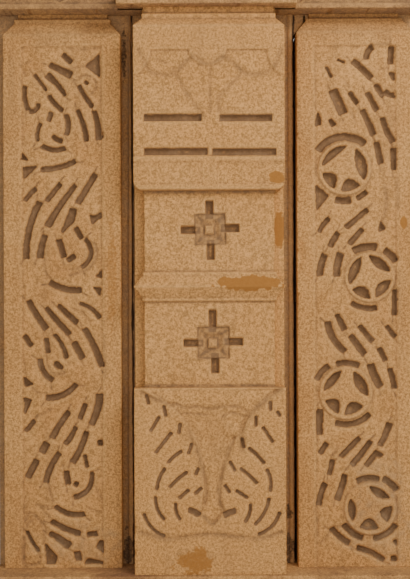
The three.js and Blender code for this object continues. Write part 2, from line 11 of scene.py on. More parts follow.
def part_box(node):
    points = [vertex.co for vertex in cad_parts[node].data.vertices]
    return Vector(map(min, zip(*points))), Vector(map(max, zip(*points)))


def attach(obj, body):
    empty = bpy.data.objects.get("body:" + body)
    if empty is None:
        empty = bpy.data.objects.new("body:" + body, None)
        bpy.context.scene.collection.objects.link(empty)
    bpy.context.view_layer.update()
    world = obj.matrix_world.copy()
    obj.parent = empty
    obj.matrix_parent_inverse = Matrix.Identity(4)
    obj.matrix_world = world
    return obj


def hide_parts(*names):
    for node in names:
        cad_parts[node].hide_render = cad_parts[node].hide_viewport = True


bl_info = {
    "name": "Sandstone relief panel",
    "version": (1, 0, 0),
    "blender": (4, 5, 0),
    "location": "View3D > Sidebar > Stone panel",
    "description": "Carves and finishes the five stones of a sandstone wall panel",
    "category": "Object",
}

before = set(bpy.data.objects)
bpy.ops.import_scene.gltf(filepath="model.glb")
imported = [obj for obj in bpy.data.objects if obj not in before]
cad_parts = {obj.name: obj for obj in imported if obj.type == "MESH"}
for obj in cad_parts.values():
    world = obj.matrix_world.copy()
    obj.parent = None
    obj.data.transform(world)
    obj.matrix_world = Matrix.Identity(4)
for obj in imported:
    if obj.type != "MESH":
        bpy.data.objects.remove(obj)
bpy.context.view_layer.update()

# Millimetres in the panel's own frame. Depths are measured back from the front plane of the pilaster.
MM = 0.001
PILASTER_FRONT_Y = -100.0
BACK = 210.0
LEDGE_TOP = 36.0
SOFFIT = 1407.0
BED = 0.3
SLAB_FACE = 75.0
CHANNEL_FLOOR = 120.0
SHAFT_FACE = 50.0
RUN_OUT = 17.0  # length of the groove in which a sweep of the chisel dies out
RUN_OUT_FROM = 34.0  # shorter slots than this have none
BEDDING = 0.7  # how much the fine level beds of the stone stand out beside its grain
BED_LENGTH = 9
BED_HEIGHT = 2.2
GRAIN_SCALE = 420.0
PILLOW = 2.1  # how far the stems between the slots fall away to their rims
HIDDEN = 8.0  # how far the back of one form is let into the form behind it

SCROLL_FACE = {"left": -502.5, "right": -213.0, "field": -358.0, "field_half": 99.5, "chamfer": 1351.0}
STAR_FACE = {"left": 222.0, "right": 511.0, "field": 366.5, "field_half": 101.0, "chamfer": 1356.0}
FIELD_TOP = 1322.0
JOINT_LEANS = 1356.0  # height from which the joints lean in with the necks
PILASTER_NECK = (21, 20)  # rise and inset of the chamfers
SLAB_NECK = (32, 25)
FIELD_SINK = 3.0

PILASTER_AXIS = 5.0
PILASTER_HALF = 182.5
# Half width of the pilaster's carved front from the foot up, as (height, half width)
PILASTER_OUTLINE = [
    (36.3, 182.5), (484.4, 182.5), (484.6, 158.0), (693.4, 158.0), (693.6, 162.5), (700.5, 162.5),
    (728.2, 182.5), (755.8, 162.5), (762.9, 162.5), (763.1, 158.0), (959.9, 158.0), (960.1, 160.5),
    (961.6, 168.0), (965.6, 175.5), (973.8, 180.9), (982.0, 182.5), (1356.0, 182.5), (1377.0, 162.5),
    (1389.9, 162.5), (1390.1, 158.5), (1406.7, 158.5),
]


# Slots between the stems: (foot, sweeps, wedges). A sweep runs from one (across, up) to another, bowed to the
# right of its way by its fifth number, with its widths at both ends. Wedges are pits with straight sides.
SCROLL_SLOTS = [
    (960, [(2, 307, 24, 287, 0, 13, 13), (-30, 282, 24, 255, 0, 12, 20), (-37, 257, 9, 205, -3, 17, 8),
           (38, 170, 60, 92, -4, 10, 13), (-67, 257, -38, 218, 0, 8, 8), (-32, 206, 2, 168, 3, 11, 11),
           (9, 158, 10, 108, -6, 12, 12), (-26, 164, -34, 142, 0, 12, 12), (-24, 106, 1, 92, 2, 12, 12),
           (-53, 137, -60, 93, 4, 9, 9), (-50, 82, 8, 76, 8, 12, 12), (-53, 23, 33, 44, 6, 13, 12),
           (-91, 230, -83, 171, 5, 11, 12), (-81, 166, -58, 186, 7, 11, 10),
           (42, 230, 76, 177, 2, 11, 11),
           (79, 167, 91, 96, -3, 12, 16), (57, 240, 64, 234, 0, 9, 9)],
     [[(58, 278), (93, 309), (94, 250)], [(-99, 66), (-101, 47), (-83, 45)], [(-97, 29), (-61, 32),
     (-95, -3)]]),
    (660, [(-64, 276, -92, 246, 2, 11, 11), (-4, 288, -39, 245, 0, 12, 12),
    (33, 284, -37, 182, 3, 11, 18),
           (-43, 161, -56, 104, 2, 14, 18), (82, 311, 38, 239, 0, 15, 15),
           (-56, 243, -89, 102, 10, 16, 15),
           (-9, 150, 4, 105, 0, 16, 14), (32, 179, 48, 151, 0, 13, 12), (56, 151, 47, 80, -19, 11, 11),
           (12, 97, 31, 110, 0, 12, 12), (-32, 44, 47, 25, 7, 15, 14)],
     [[(19, 227), (36, 225), (31, 196), (3, 167), (-4, 168)], [(80, 57), (97, 74), (97, 54)],
      [(66, 212), (80, 208), (97, 217), (97, 202), (84, 196), (74, 185)], [(75, 32), (96, 30), (92, 8)]]),
    (420, [(-85, 240, -40, 168, 2, 15, 16), (-41, 221, 17, 155, 1, 12, 15),
    (-12, 228, 36, 183, 0, 12, 15),
           (42, 232, 92, 195, -6, 8, 12), (-21, 155, 9, 96, -5, 9, 12), (27, 137, 49, 95, 0, 15, 17),
           (53, 170, 97, 76, -3, 14, 17), (-95, 153, -77, 126, 0, 13, 13),
           (-41, 146, -36, 109, 0, 12, 13),
           (-57, 95, -25, 41, 8, 13, 15), (-42, -1, 33, 33, 11, 15, 13)],
     [[(-21, 88), (-12, 89), (2, 75), (-1, 69), (-14, 69), (-23, 80)], [(-97, 53), (-72, 32),
     (-95, 25)]]),
    (125, [(-70, 238, -93, 211, 0, 11, 12), (15, 260, -28, 193, 2, 13, 16),
    (-40, 183, -54, 158, 0, 18, 18),
           (-65, 141, -88, 97, 0, 16, 17), (56, 279, 41, 241, 0, 12, 12), (31, 222, 4, 179, -3, 11, 13),
           (-9, 158, -43, 84, 5, 13, 15), (91, 303, 68, 226, -5, 18, 16), (58, 210, 22, 133, -4, 13, 16),
           (53, 153, 59, 121, 0, 9, 9), (7, 113, 12, 79, 0, 14, 15), (70, 109, 26, 47, -17, 11, 12),
           (27, 83, 36, 78, 0, 12, 12), (-20, 26, 53, 7, 10, 12, 13), (86, 182, 97, 182, 0, 14, 14)],
     [[(-97, 295), (-76, 289), (-95, 250)]]),
    (0, [(-30, 114, 42, 82, 3, 13, 14), (58, 80, 84, 83, 0, 12, 12), (-35, 84, 15, 51, -2, 12, 20),
         (-90, 90, -61, 40, 2, 8, 8), (33, 38, 38, 16, 0, 16, 16)],
     [[(-46, 60), (-15, 26), (-21, 8), (-42, 8)], [(60, 22), (97, 13), (97, 8), (51, 8)],
      [(89, 66), (99, 66), (99, 34), (80, 49)]]),
]
TENDRIL_SLOTS = [
    (960, [(44, 323, 28, 292, 5, 14, 13), (90, 324, 87, 280, 0, 14, 14), (-45, 292, -25, 284, 0, 5, 5),
           (-72, 274, -58, 247, 0, 6, 6), (-6, 288, 40, 245, -2, 15, 15), (53, 230, 70, 200, 2, 15, 12),
           (73, 213, 97, 203, 3, 13, 13), (-55, 217, -29, 157, 0, 23, 24), (-14, 211, 5, 182, 0, 11, 11),
           (17, 167, 46, 104, -1, 13, 16), (52, 87, 63, 33, 0, 14, 15), (30, 210, 54, 165, 0, 13, 15),
           (66, 148, 93, 87, 2, 12, 16), (94, 72, 96, 18, 0, 15, 14), (-63, 144, -52, 128, 0, 10, 13)],
     [[(82, 259), (98, 259), (97, 238), (89, 243)], [(-92, 165), (-84, 142), (-84, 130), (-98, 128),
     (-98, 142)],
      [(-99, -16), (-66, -44), (-96, -83)]]),
    (700, [(-65, 159, -90, 125, 3, 11, 11), (30, 181, -24, 136, 0, 12, 13),
    (-43, 124, -63, 89, 1, 14, 14),
           (-76, 71, -89, 17, 3, 16, 16), (17, 133, -16, 95, 0, 12, 14), (-37, 73, -47, 16, 3, 18, 17)],
     [[(62, 153), (75, 132), (55, 125)]]),
    (420, [(98, 263, 95, 199, 0, 15, 13), (75, 173, 97, 145, 0, 11, 12), (-47, 202, -28, 163, 0, 12, 15),
           (-14, 150, 21, 102, 0, 15, 16), (-70, 184, -27, 110, 9, 16, 15), (8, 174, 41, 134, 0, 12, 14),
           (56, 118, 73, 86, -1, 13, 13), (82, 68, 94, 18, -2, 13, 14), (35, 79, 60, 22, 2, 19, 19),
           (-90, -33, -91, -95, 0, 16, 14)], []),
    (140, [(-73, 165, -91, 137, 0, 13, 12), (8, 177, -39, 130, 0, 12, 13),
    (36, 169, -12, 109, -1, 13, 15),
           (-29, 86, -49, 23, -2, 14, 16), (82, 213, 57, 157, -2, 15, 14), (46, 135, 23, 107, 0, 14, 13),
           (42, 139, 62, 130, -2, 12, 14), (-60, 123, -68, 86, -1, 13, 11), (-78, 65, -94, 11, 2, 14, 14),
           (-63, -46, -18, -84, 3, 14, 14), (0, -95, 66, -126, -4, 14, 13),
           (84, -122, 97, -122, 0, 14, 14)],
     [[(88, -78), (99, -74), (99, -92)]]),
]
# Slots that hug each roundel: (from, to, gap, width) in degrees and millimetres
HUGS = [
    [(50, 146, 3, 18), (-107, -79, 4, 16), (-68, -46, 6, 12)], [(76, 122, 3, 18), (30, 61, 4, 17),
    (-126, -77, 8, 13)],
    [(122, 156, 4, 14), (63, 108, 0, 13), (-109, -42, 5, 14)],
    [(72, 116, 2, 13), (34, 66, 5, 16), (-149, -104, 3, 14), (-84, -33, 3, 13)],
]

# Contours drawn on the stems: (width, depth, points from the middle of the field and up from the ledge)
SCROLL_LINES = [
    (4, 1.3, [(15, 1283), (45, 1278), (90, 1282)]), (4, 1.2, [(20, 1232), (40, 1234), (60, 1238)]),
    (4, 1.6, [(45, 1210), (60, 1215), (80, 1205), (85, 1185), (75, 1170)]), (4, 1.4, [(-100, 1240),
    (-88, 1215)]),
    (4, 1.2, [(-88, 1245), (-75, 1250)]), (4, 1.5, [(-45, 762), (-44, 740), (-36, 722), (-28, 712)]),
    (4, 1.3, [(-10, 740), (10, 735), (35, 738), (50, 745)]), (4, 1.2, [(75, 778), (95, 770)]),
    (5, 1.7, [(80, 800), (86, 775), (76, 750), (55, 733), (20, 722)]), (4, 1.4, [(25, 640), (50, 628),
    (68, 605)]),
    (4, 1.2, [(45, 635), (60, 620), (67, 610)]), (4, 1.2, [(-97, 525), (-92, 480)]),
    (4, 1.5, [(-38, 505), (-30, 485), (-15, 478), (5, 480), (-20, 500)]),
    (4, 1.4, [(-75, 445), (-60, 432), (-42, 430)]), (4, 1.2, [(20, 460), (25, 452)]),
    (4, 1.4, [(103, 575), (104, 470)]), (4, 1.4, [(-70, 365), (-50, 380), (-28, 392)]),
    (4, 1.2, [(-65, 157), (-50, 152), (-20, 150)]), (4, 1.3, [(-55, 150), (-35, 125)]),
    (5, 1.5, [(-95, 118), (-80, 135), (-60, 120), (-45, 95), (-48, 60)]), (4, 1.3, [(-90, 100),
    (-85, 112), (-75, 118)]),
    (5, 1.6, [(-97, 75), (-97, 20), (-85, 8), (-62, 12), (-58, 30), (-60, 40)]),
    (4, 1.3, [(-36, 205), (-33, 185), (-25, 165)]), (4, 1.3, [(62, 148), (75, 142), (90, 138)]),
    (4, 1.4, [(80, 200), (95, 165)]),
]
STAR_LINES = [
    (4, 1.4, [(44, 1286), (70, 1290), (88, 1286)]), (4, 1.3, [(-25, 1199), (-14, 1183)]),
    (4, 1.2, [(59, 1227), (80, 1229)]), (4, 1.3, [(-8, 1122), (1, 1097)]), (4, 1.2, [(12, 897),
    (13, 888), (20, 886)]),
    (5, 1.4, [(75, 934), (77, 890), (65, 850)]), (4, 1.5, [(103, 960), (104, 880)]),
    (5, 1.4, [(-87, 61), (-70, 80), (-64, 96)]), (4, 1.3, [(-58, 98), (-29, 99)]), (5, 1.5, [(-98, 152),
    (-97, 75)]),
    (5, 1.4, [(-62, 270), (-45, 297)]),
]
STAR_PITS = [(106, 430), (105, 414), (88, 390), (86, 372)]
# Roundels as (across, up, radius of the ring)
ROUNDELS = [(-27, 982, 67), (34, 714, 63), (-26, 429, 67), (33, 143, 66)]
# The drapery lobes and leaf ribs of the head, from the pilaster's axis and up from the ledge
HEAD_LINES = [
    (5, 1.3, [(3, 1224), (3, 1113)]), (5, 1.2, [(-126, 1241), (-100, 1229)]),
    (6, 1.5, [(-84, 1214), (-50, 1154), (-13, 1104)]), (6, 1.4, [(72, 1197), (26, 1147), (25, 1113)]),
    (7, 1.6, [(-168, 1262), (-140, 1212), (-86, 1204), (-40, 1244), (0, 1226), (42, 1244), (92, 1204),
    (150, 1214), (176, 1262)]),
]
VASE_LINES = [
    (6, 1.8, [(-165, 440), (-140, 426), (-112, 415), (-88, 409)]),
    (8, 2.2, [(168, 445), (146, 430), (126, 410), (100, 390), (85, 370), (76, 345), (75, 318),
    (77, 302)]),
    (5, 1.4, [(-85, 412), (-60, 402), (-30, 404), (0, 398), (35, 404), (70, 403), (88, 392)]),
    (4, 1.2, [(-62, 388), (-30, 386), (-8, 384)]), (4, 1.2, [(28, 378), (45, 388), (70, 386), (84, 378)]),
    (7, 2.4, [(58, 328), (44, 295), (34, 265), (28, 240), (23, 212), (21, 190), (24, 170), (34, 150)]),
    (7, 1.5, [(-52, 345), (-36, 310), (-27, 285), (-25, 262)]), (7, 1.5, [(-20, 256), (-12, 228),
    (-9, 195), (-14, 168)]),
    (5, 1.8, [(-24, 147), (-8, 132), (3, 122), (16, 134), (30, 147)]),
    (7, 1.2, [(-170, 104), (-110, 88), (-50, 93), (0, 98), (60, 92), (120, 88), (172, 102)]),
]
VASE_BOSSES = [(-28, 351, 16), (49, 348, 20)]
# Square mouths of the crosses: (across, up, half side, turn in degrees), and how deep their edges step down
CROSS_MOUTHS = [(2, 831, 37, 2.0), (9, 556, 38, 0.5)]
CROSS_STEP = 6.0


def depth_to_y(depth):
    return depth + PILASTER_FRONT_Y


# ---- Rasters: a stone's front as depths on a one-millimetre grid ---------------------------------


def smooth_noise(shape, lump, rng):
    """A random field from -1 to 1 whose lumps are about that many millimetres across."""
    lattice = rng.uniform(-1, 1, (int(shape[0] / lump) + 3, int(shape[1] / lump) + 3))
    rows = np.arange(shape[0]) / lump
    columns = np.arange(shape[1]) / lump
    row, column = rows.astype(int), columns.astype(int)
    up, across = rows - row, columns - column
    up = (up * up * (3 - 2 * up))[:, None]
    across = (across * across * (3 - 2 * across))[None, :]
    low = lattice[row][:, column] * (1 - across) + lattice[row][:, column + 1] * across
    high = lattice[row + 1][:, column] * (1 - across) + lattice[row + 1][:, column + 1] * across
    return low * (1 - up) + high * up


def layered_noise(shape, lumps, rng):
    """Several sizes of lumps laid over each other, each half as strong as the one before."""
    total = sum(smooth_noise(shape, lump, rng) * 0.5**i for i, lump in enumerate(lumps))
    return total / sum(0.5**i for i in range(len(lumps)))


def blurred(raster, sigma):
    reach = max(1, int(round(sigma * 2.5)))
    offsets = np.arange(-reach, reach + 1)
    weights = np.exp(-0.5 * (offsets / sigma) ** 2)
    weights /= weights.sum()
    for axis in (0, 1):
        pad = [(reach, reach) if axis == side else (0, 0) for side in (0, 1)]
        padded = np.pad(raster, pad, mode="edge")
        size = raster.shape[axis]
        raster = sum(w * padded.take(range(i, i + size), axis=axis) for i, w in enumerate(weights))
    return raster


def distance_within(mask, reach):
    """How far each point of the mask lies from the nearest point outside it, up to reach."""
    distance = np.where(mask, float(reach), 0.0)
    for _ in range(int(reach)):
        p = np.pad(distance, 1, mode="edge")
        straight = np.minimum(np.minimum(p[:-2, 1:-1], p[2:, 1:-1]), np.minimum(p[1:-1, :-2], p[1:-1, 2:]))
        diagonal = np.minimum(np.minimum(p[:-2, :-2], p[2:, 2:]), np.minimum(p[:-2, 2:], p[2:, :-2]))
        distance = np.minimum(distance, np.minimum(straight + 1, diagonal + 1.414))
    return distance


def smoothstep(low, high, value):
    t = np.clip((value - low) / (high - low), 0, 1)
    return t * t * (3 - 2 * t)


def rounded_edge(distance, radius):
    """How deep a worn edge of that radius drops at a distance from it."""
    t = 1 - np.clip(distance / radius, 0, 1)
    return radius * (1 - np.sqrt(np.clip(1 - t * t, 0, 1)))


def smooth_path(points, steps=8):
    """A smooth line through the points."""
    path = np.array(points, float)
    if len(path) < 3:
        return path
    ends = np.vstack([2 * path[0] - path[1], path, 2 * path[-1] - path[-2]])
    pieces = []
    for a, b, c, d in zip(ends, ends[1:], ends[2:], ends[3:]):
        t = np.linspace(0, 1, steps, endpoint=False)[:, None]
        square, cube = 2 * a - 5 * b + 4 * c - d, 3 * b - a - 3 * c + d
        pieces.append(0.5 * (2 * b + (c - a) * t + square * t**2 + cube * t**3))
    return np.vstack(pieces + [path[-1:]])


class Front:
    """The front of one form: its depth at every millimetre across and up, and the masks of what lies on it,
    painted shade and painted highlight among them.
    """

    MASKS = ("hollow", "crest_wear_and_highlight", "grime_and_shade", "iron", "soot", "bloom")

    def __init__(self, left, right, bottom, top, depth, seed):
        self.left, self.right, self.bottom, self.top = left, right, bottom, top
        self.x = np.arange(math.floor(left), math.ceil(right)) + 0.5
        self.z = np.arange(math.floor(bottom), math.ceil(top)) + 0.5
        self.shape = (len(self.z), len(self.x))
        self.depth = np.full(self.shape, float(depth))
        self.rng = np.random.default_rng(seed)
        self.masks = {name: np.zeros(self.shape) for name in self.MASKS}

    def cast(self, node, half_width):
        """Reads the depths of a CAD node. half_width(z) gives (middle, half) of the form's outline there."""
        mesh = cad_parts[node].data
        tree = BVHTree.FromPolygons([v.co for v in mesh.vertices], [p.vertices for p in mesh.polygons])
        ahead = Vector((0, 1, 0))
        for row, z in enumerate(self.z):
            middle, half = half_width(z)
            inside = np.clip(self.x, middle - half + 0.6, middle + half - 0.6)
            for column, x in enumerate(inside):
                hit = tree.ray_cast(Vector((x * MM, -0.2, z * MM)), ahead)[0]
                if hit is not None:
                    self.depth[row, column] = hit.y / MM - PILASTER_FRONT_Y
        return self

    def window(self, left, right, bottom, top):
        rows = slice(*np.searchsorted(self.z, [bottom, top]))
        columns = slice(*np.searchsorted(self.x, [left, right]))
        return rows, columns

    def noise(self, *lumps):
        return layered_noise(self.shape, lumps, self.rng)

    def sample(self, raster, x, z):
        """The raster's values at points, smoothly between its millimetres."""
        column = np.clip(x - self.x[0], 0, self.shape[1] - 1.001)
        row = np.clip(z - self.z[0], 0, self.shape[0] - 1.001)
        c, r = column.astype(int), row.astype(int)
        fc, fr = column - c, row - r
        low = raster[r, c] * (1 - fc) + raster[r, c + 1] * fc
        high = raster[r + 1, c] * (1 - fc) + raster[r + 1, c + 1] * fc
        return low * (1 - fr) + high * fr

    def distance_to(self, path):
        """Distance of every point from a line of points, exact near it and large away from it."""
        path = np.array(path, float)
        distance = np.full(self.shape, 99.0)
        for a, b in zip(path[:-1], path[1:]):
            low, high = np.minimum(a, b) - 14, np.maximum(a, b) + 14
            rows, columns = self.window(low[0], high[0], low[1], high[1])
            x, z = self.x[None, columns], self.z[rows, None]
            along = b - a
            t = ((x - a[0]) * along[0] + (z - a[1]) * along[1]) / max(1e-6, along @ along)
            t = np.clip(t, 0, 1)
            away = np.hypot(x - a[0] - t * along[0], z - a[1] - t * along[1])
            distance[rows, columns] = np.minimum(distance[rows, columns], away)
        return distance

    def engrave(self, path, width, depth):
        """Cuts a rounded line of that width and depth, or raises one when the depth is negative."""
        distance = self.distance_to(path)
        self.depth += 1.35 * depth * np.exp(-((distance / (0.5 * width)) ** 2))

    def ribbon(self, path, start, end):
        """The points within a ribbon along a path, from one width to another, with square ends."""
        mask = np.zeros(self.shape, bool)
        count = len(path) - 1
        for i, (a, b) in enumerate(zip(path[:-1], path[1:])):
            half = 0.5 * (start + (end - start) * (i + 0.5) / count)
            low, high = np.minimum(a, b) - half - 1, np.maximum(a, b) + half + 1
            rows, columns = self.window(low[0], high[0], low[1], high[1])
            x, z = self.x[None, columns], self.z[rows, None]
            size = max(1e-6, np.hypot(*(b - a)))
            along = (b - a) / size
            t = (x - a[0]) * along[0] + (z - a[1]) * along[1]
            aside = np.abs((x - a[0]) * along[1] - (z - a[1]) * along[0])
            first, last = (0 if i == 0 else -1.5), (size if i == count - 1 else size + 1.5)
            mask[rows, columns] |= (t >= first) & (t <= last) & (aside < half)
        return mask

    def wedge(self, corners):
        """The points inside a straight-sided outline."""
        x, z = self.x[None, :], self.z[:, None]
        mask = np.zeros(self.shape, bool)
        for (x0, z0), (x1, z1) in zip(corners, [*corners[1:], corners[0]]):
            if z0 != z1:
                mask ^= ((z0 > z) != (z1 > z)) & (x < x0 + (z - z0) * (x1 - x0) / (z1 - z0))
        return mask

    def slots(self, groups, middle):
        """Every slot of the groups, as one mask."""
        mask = np.zeros(self.shape, bool)
        t = np.linspace(0, 1, 13)[:, None]
        for foot, sweeps, wedges in groups:
            corner = np.array([middle, LEDGE_TOP + foot])
            for u0, v0, u1, v1, bow, start, end in sweeps:
                a, b = corner + (u0, v0), corner + (u1, v1)
                along = (b - a) / np.hypot(*(b - a))
                control = (a + b) / 2 + 2 * bow * np.array([along[1], -along[0]])
                mask |= self.ribbon((1 - t) ** 2 * a + 2 * t * (1 - t) * control + t**2 * b, start, end)
            for corners in wedges:
                mask |= self.wedge([tuple(corner + place) for place in corners])
        return mask

    def run_outs(self, groups, middle):
        """The shallow grooves in which the chisel left each long sweep, at both of its ends."""
        grooves = []
        for foot, sweeps, _ in groups:
            corner = np.array([middle, LEDGE_TOP + foot])
            for u0, v0, u1, v1, bow, start, end in sweeps:
                a, b = corner + (u0, v0), corner + (u1, v1)
                length = np.hypot(*(b - a))
                if length < RUN_OUT_FROM:
                    continue
                along = (b - a) / length
                aside = np.array([along[1], -along[0]])
                lean = 4 * bow / length
                ends = ((a, -along + lean * aside, start), (b, along + lean * aside, end))
                for place, way, width in ends:
                    edge = place + 0.32 * width * aside
                    tail = edge + RUN_OUT * way - 1.5 * lean * aside
                    grooves.append((3.4, 1.5, [edge, edge + 7 * way, tail]))
        return grooves

    def roundel_slots(self, cad_slots, middle):
        """The hollows of the stars as the CAD has them, and the slots that hug the roundels."""
        mask = np.zeros(self.shape, bool)
        for (u, v, outer), hugs in zip(ROUNDELS, HUGS):
            centre = np.array([middle + u, LEDGE_TOP + v])
            away = np.hypot(self.x[None, :] - centre[0], self.z[:, None] - centre[1])
            mask = np.where(away < outer + 1, cad_slots & (away < outer - 3), mask)
            for start, end, gap, width in hugs:
                turn = np.radians(np.linspace(start, end, 13))
                arc = centre + (outer + gap + width / 2) * np.stack([np.cos(turn), np.sin(turn)], axis=1)
                mask |= self.ribbon(arc, width, width)
        return mask

    def draw(self, lines, x, z):
        """Engraves lines given from a middle (x, z): each is (width, depth, points)."""
        for width, depth, line in lines:
            path = smooth_path(line) + np.array([x, z])
            self.engrave(path, width, depth)
            # Soiling and painted shade along each engraved line.
            dirt_and_shade = min(0.75, 0.42 * abs(depth))
            self.lay("grime_and_shade", dirt_and_shade * np.exp(-((self.distance_to(path) / width) ** 2)))

    def lay(self, name, mask):
        """Lays a mask over what a mask already has."""
        self.masks[name] = np.maximum(self.masks[name], mask)

    def oval(self, x, z, half_x, half_z, ragged):
        """1 inside an uneven oval, falling to 0 at its ragged edge."""
        away = np.hypot((self.x[None, :] - x) / half_x, (self.z[:, None] - z) / half_z)
        away = away + ragged * self.noise(max(4.0, min(half_x, half_z) * 0.5), 5.0, 2.5)
        return 1 - smoothstep(0.75, 1.1, away)

    def roll(self, x, half_width, rise):
        """Leaves an upright roll standing on the surface."""
        away = np.abs(self.x[None, :] - x) / half_width
        self.depth -= np.where(away < 1, rise * np.sqrt(np.clip(1 - away**2, 0, 1)), 0)

    def chip(self, x, z, half_x, half_z, depth):
        """Breaks a shallow flake off the surface."""
        self.depth += depth * self.oval(x, z, half_x, half_z, 0.3)

    def patch(self, name, x, z, half_x, half_z, amount=1.0, ragged=0.35):
        """Lays an uneven patch of one of the masks, an oval with a ragged edge."""
        self.lay(name, amount * self.oval(x, z, half_x, half_z, ragged))

    def carve_slots(self, where, ground, rim, chip):
        """Turns the sharp slots of the CAD into hand-cut ones with rounded rims and hollowed floors, and
        darkens them as soiling and painted shade.
        """
        ragged = self.noise(7.0, 3.0) * chip
        within = distance_within(where, 9) - 0.5
        around = distance_within(~where, 9) - 0.5
        signed = np.where(where, -within, around) + ragged
        slot = 1 - smoothstep(-1.1, 1.1, signed)
        bowl = 0.72 + 0.28 * smoothstep(0.5, 5.0, within)
        uneven = 1 + 0.22 * self.noise(22.0, 9.0)
        cut = (self.depth - ground).clip(0) * bowl * uneven
        depth_of_cut = np.where(where, cut, blurred(cut, 1.5))
        lip = rounded_edge(np.clip(signed, 0, None), rim)
        lip = lip + PILLOW * (1 - smoothstep(0.0, 9.0, signed))
        self.depth = np.where(slot > 0, ground + lip * (1 - slot) + depth_of_cut.clip(0) * slot, ground + lip)
        # Painted shadow along the upper and right sides inside each slot, where light from the upper right
        # falls short; the whole slot is darkened as soiling and painted shade, most near its rim.
        shaded = slot * (1 - np.roll(slot, (-3, -3), axis=(0, 1)))
        slot_soiling_and_shade = slot * (0.98 + 0.55 * np.exp(-within / 2.0)) + 0.75 * shaded
        self.lay("hollow", slot_soiling_and_shade)

    def wear(self, grain, pits, dents):
        """Weathers the surface: broad unevenness, grain, and pits where grains have dropped out."""
        self.depth += dents * self.noise(60.0, 25.0, 10.0)
        self.depth += grain * self.rng.normal(0, 1, self.shape)
        beds = smooth_noise((self.shape[0], self.shape[1] // BED_LENGTH + 1), BED_HEIGHT, self.rng)
        self.depth += BEDDING * grain * beds.repeat(BED_LENGTH, axis=1)[:, : self.shape[1]]
        field = smooth_noise(self.shape, 3.4, self.rng)
        self.depth += pits * smoothstep(0.62, 0.95, field)

    def read_relief(self):
        """Finds the high places of the relief, lightened as rubbed wear and painted highlight, and its corners
        and creases, darkened as soiling and painted shade.
        """
        broad = blurred(self.depth, 4.0) - blurred(self.depth, 0.8)
        self.masks["crest_wear_and_highlight"] = np.clip(broad / 1.2, 0, 1)
        self.masks["grime_and_shade"] = np.clip(self.masks["grime_and_shade"] + np.clip(-broad / 1.6, 0, 1), 0, 1)


def outline_reader(outline, middle):
    heights = [z for z, _ in outline]
    halves = [half for _, half in outline]
    return lambda z: (middle, float(np.interp(z, heights, halves)))


def spaced(zones, keys=(), gap=0.7):
    """Grid lines through zones of (start, end, spacing), with a close pair of lines at each key place."""
    lines = []
    for start, end, spacing in zones:
        count = max(1, round((end - start) / spacing))
        lines.extend(np.linspace(start, end, count + 1))
    lines = np.array(sorted(set(np.round(lines, 4))))
    inner = [k for k in keys if lines[0] + 1 < k < lines[-1] - 1]
    for key in inner:
        lines = lines[(np.abs(lines - key) > 1.6) | (lines == lines[0]) | (lines == lines[-1])]
    pairs = [key + side for key in inner for side in (-gap, gap)]
    lines = np.array(sorted(set(np.round(np.concatenate([lines, pairs]), 4))))
    close = np.concatenate([[True], np.diff(lines) > 0.25])
    return lines[close]


# ---- Meshes --------------------------------------------------------------------------------------


def start_afresh():
    if bpy.context.mode != "OBJECT":
        bpy.ops.object.mode_set(mode="OBJECT")
    bpy.ops.object.select_all(action="DESELECT")


def stone_shell(name, front, columns, rows, back):
    """A closed stone from a front. columns(z) gives the x of every grid line at one of the rows' heights."""
    start_afresh()
    across = np.array([columns(z) for z in rows])
    up = np.repeat(np.array(rows)[:, None], across.shape[1], axis=1)
    depth = front.sample(front.depth, across, up)
    bpy.ops.mesh.primitive_grid_add(
        x_subdivisions=across.shape[1] - 1, y_subdivisions=across.shape[0] - 1, size=1, location=(0, 0, 0)
    )
    shell = bpy.context.object
    shell.name = name
    shell.data.name = name
    places = np.stack([across, depth_to_y(depth), up], axis=-1).reshape(-1, 3) * MM
    shell.data.vertices.foreach_set("co", places.ravel())
    for mask in Front.MASKS:
        values = front.sample(front.masks[mask], across, up).ravel()
        attribute = shell.data.attributes.new(mask, "FLOAT", "POINT")
        attribute.data.foreach_set("value", values.astype(np.float32))
    shell.data.update()
    bpy.ops.object.mode_set(mode="EDIT")
    bpy.ops.mesh.select_mode(type="EDGE")
    bpy.ops.mesh.select_all(action="DESELECT")
    bpy.ops.mesh.select_non_manifold(
        use_wire=False, use_multi_face=False, use_non_contiguous=False, use_verts=False
    )
    bpy.ops.mesh.extrude_region_move()
    bpy.ops.transform.resize(value=(1, 0, 1), center_override=(0, depth_to_y(back) * MM, 0))
    bpy.ops.mesh.edge_face_add()
    bpy.ops.object.mode_set(mode="OBJECT")
    bpy.ops.object.shade_smooth_by_angle(angle=math.radians(72))
    return shell


def joined(shells, name):
    """One object of several closed shells."""
    start_afresh()
    for shell in shells:
        shell.select_set(True)
    bpy.context.view_layer.objects.active = shells[0]
    if len(shells) > 1:
        bpy.ops.object.join()
    stone = bpy.context.object
    stone.name = name
    stone.data.name = name
    return stone


def settle(stone, node, material):
    """Gives a stone its material and puts it in place of its CAD node."""
    stone.data.materials.clear()
    stone.data.materials.append(material)
    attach(stone, "root")
    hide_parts(node)


# ---- Materials -----------------------------------------------------------------------------------


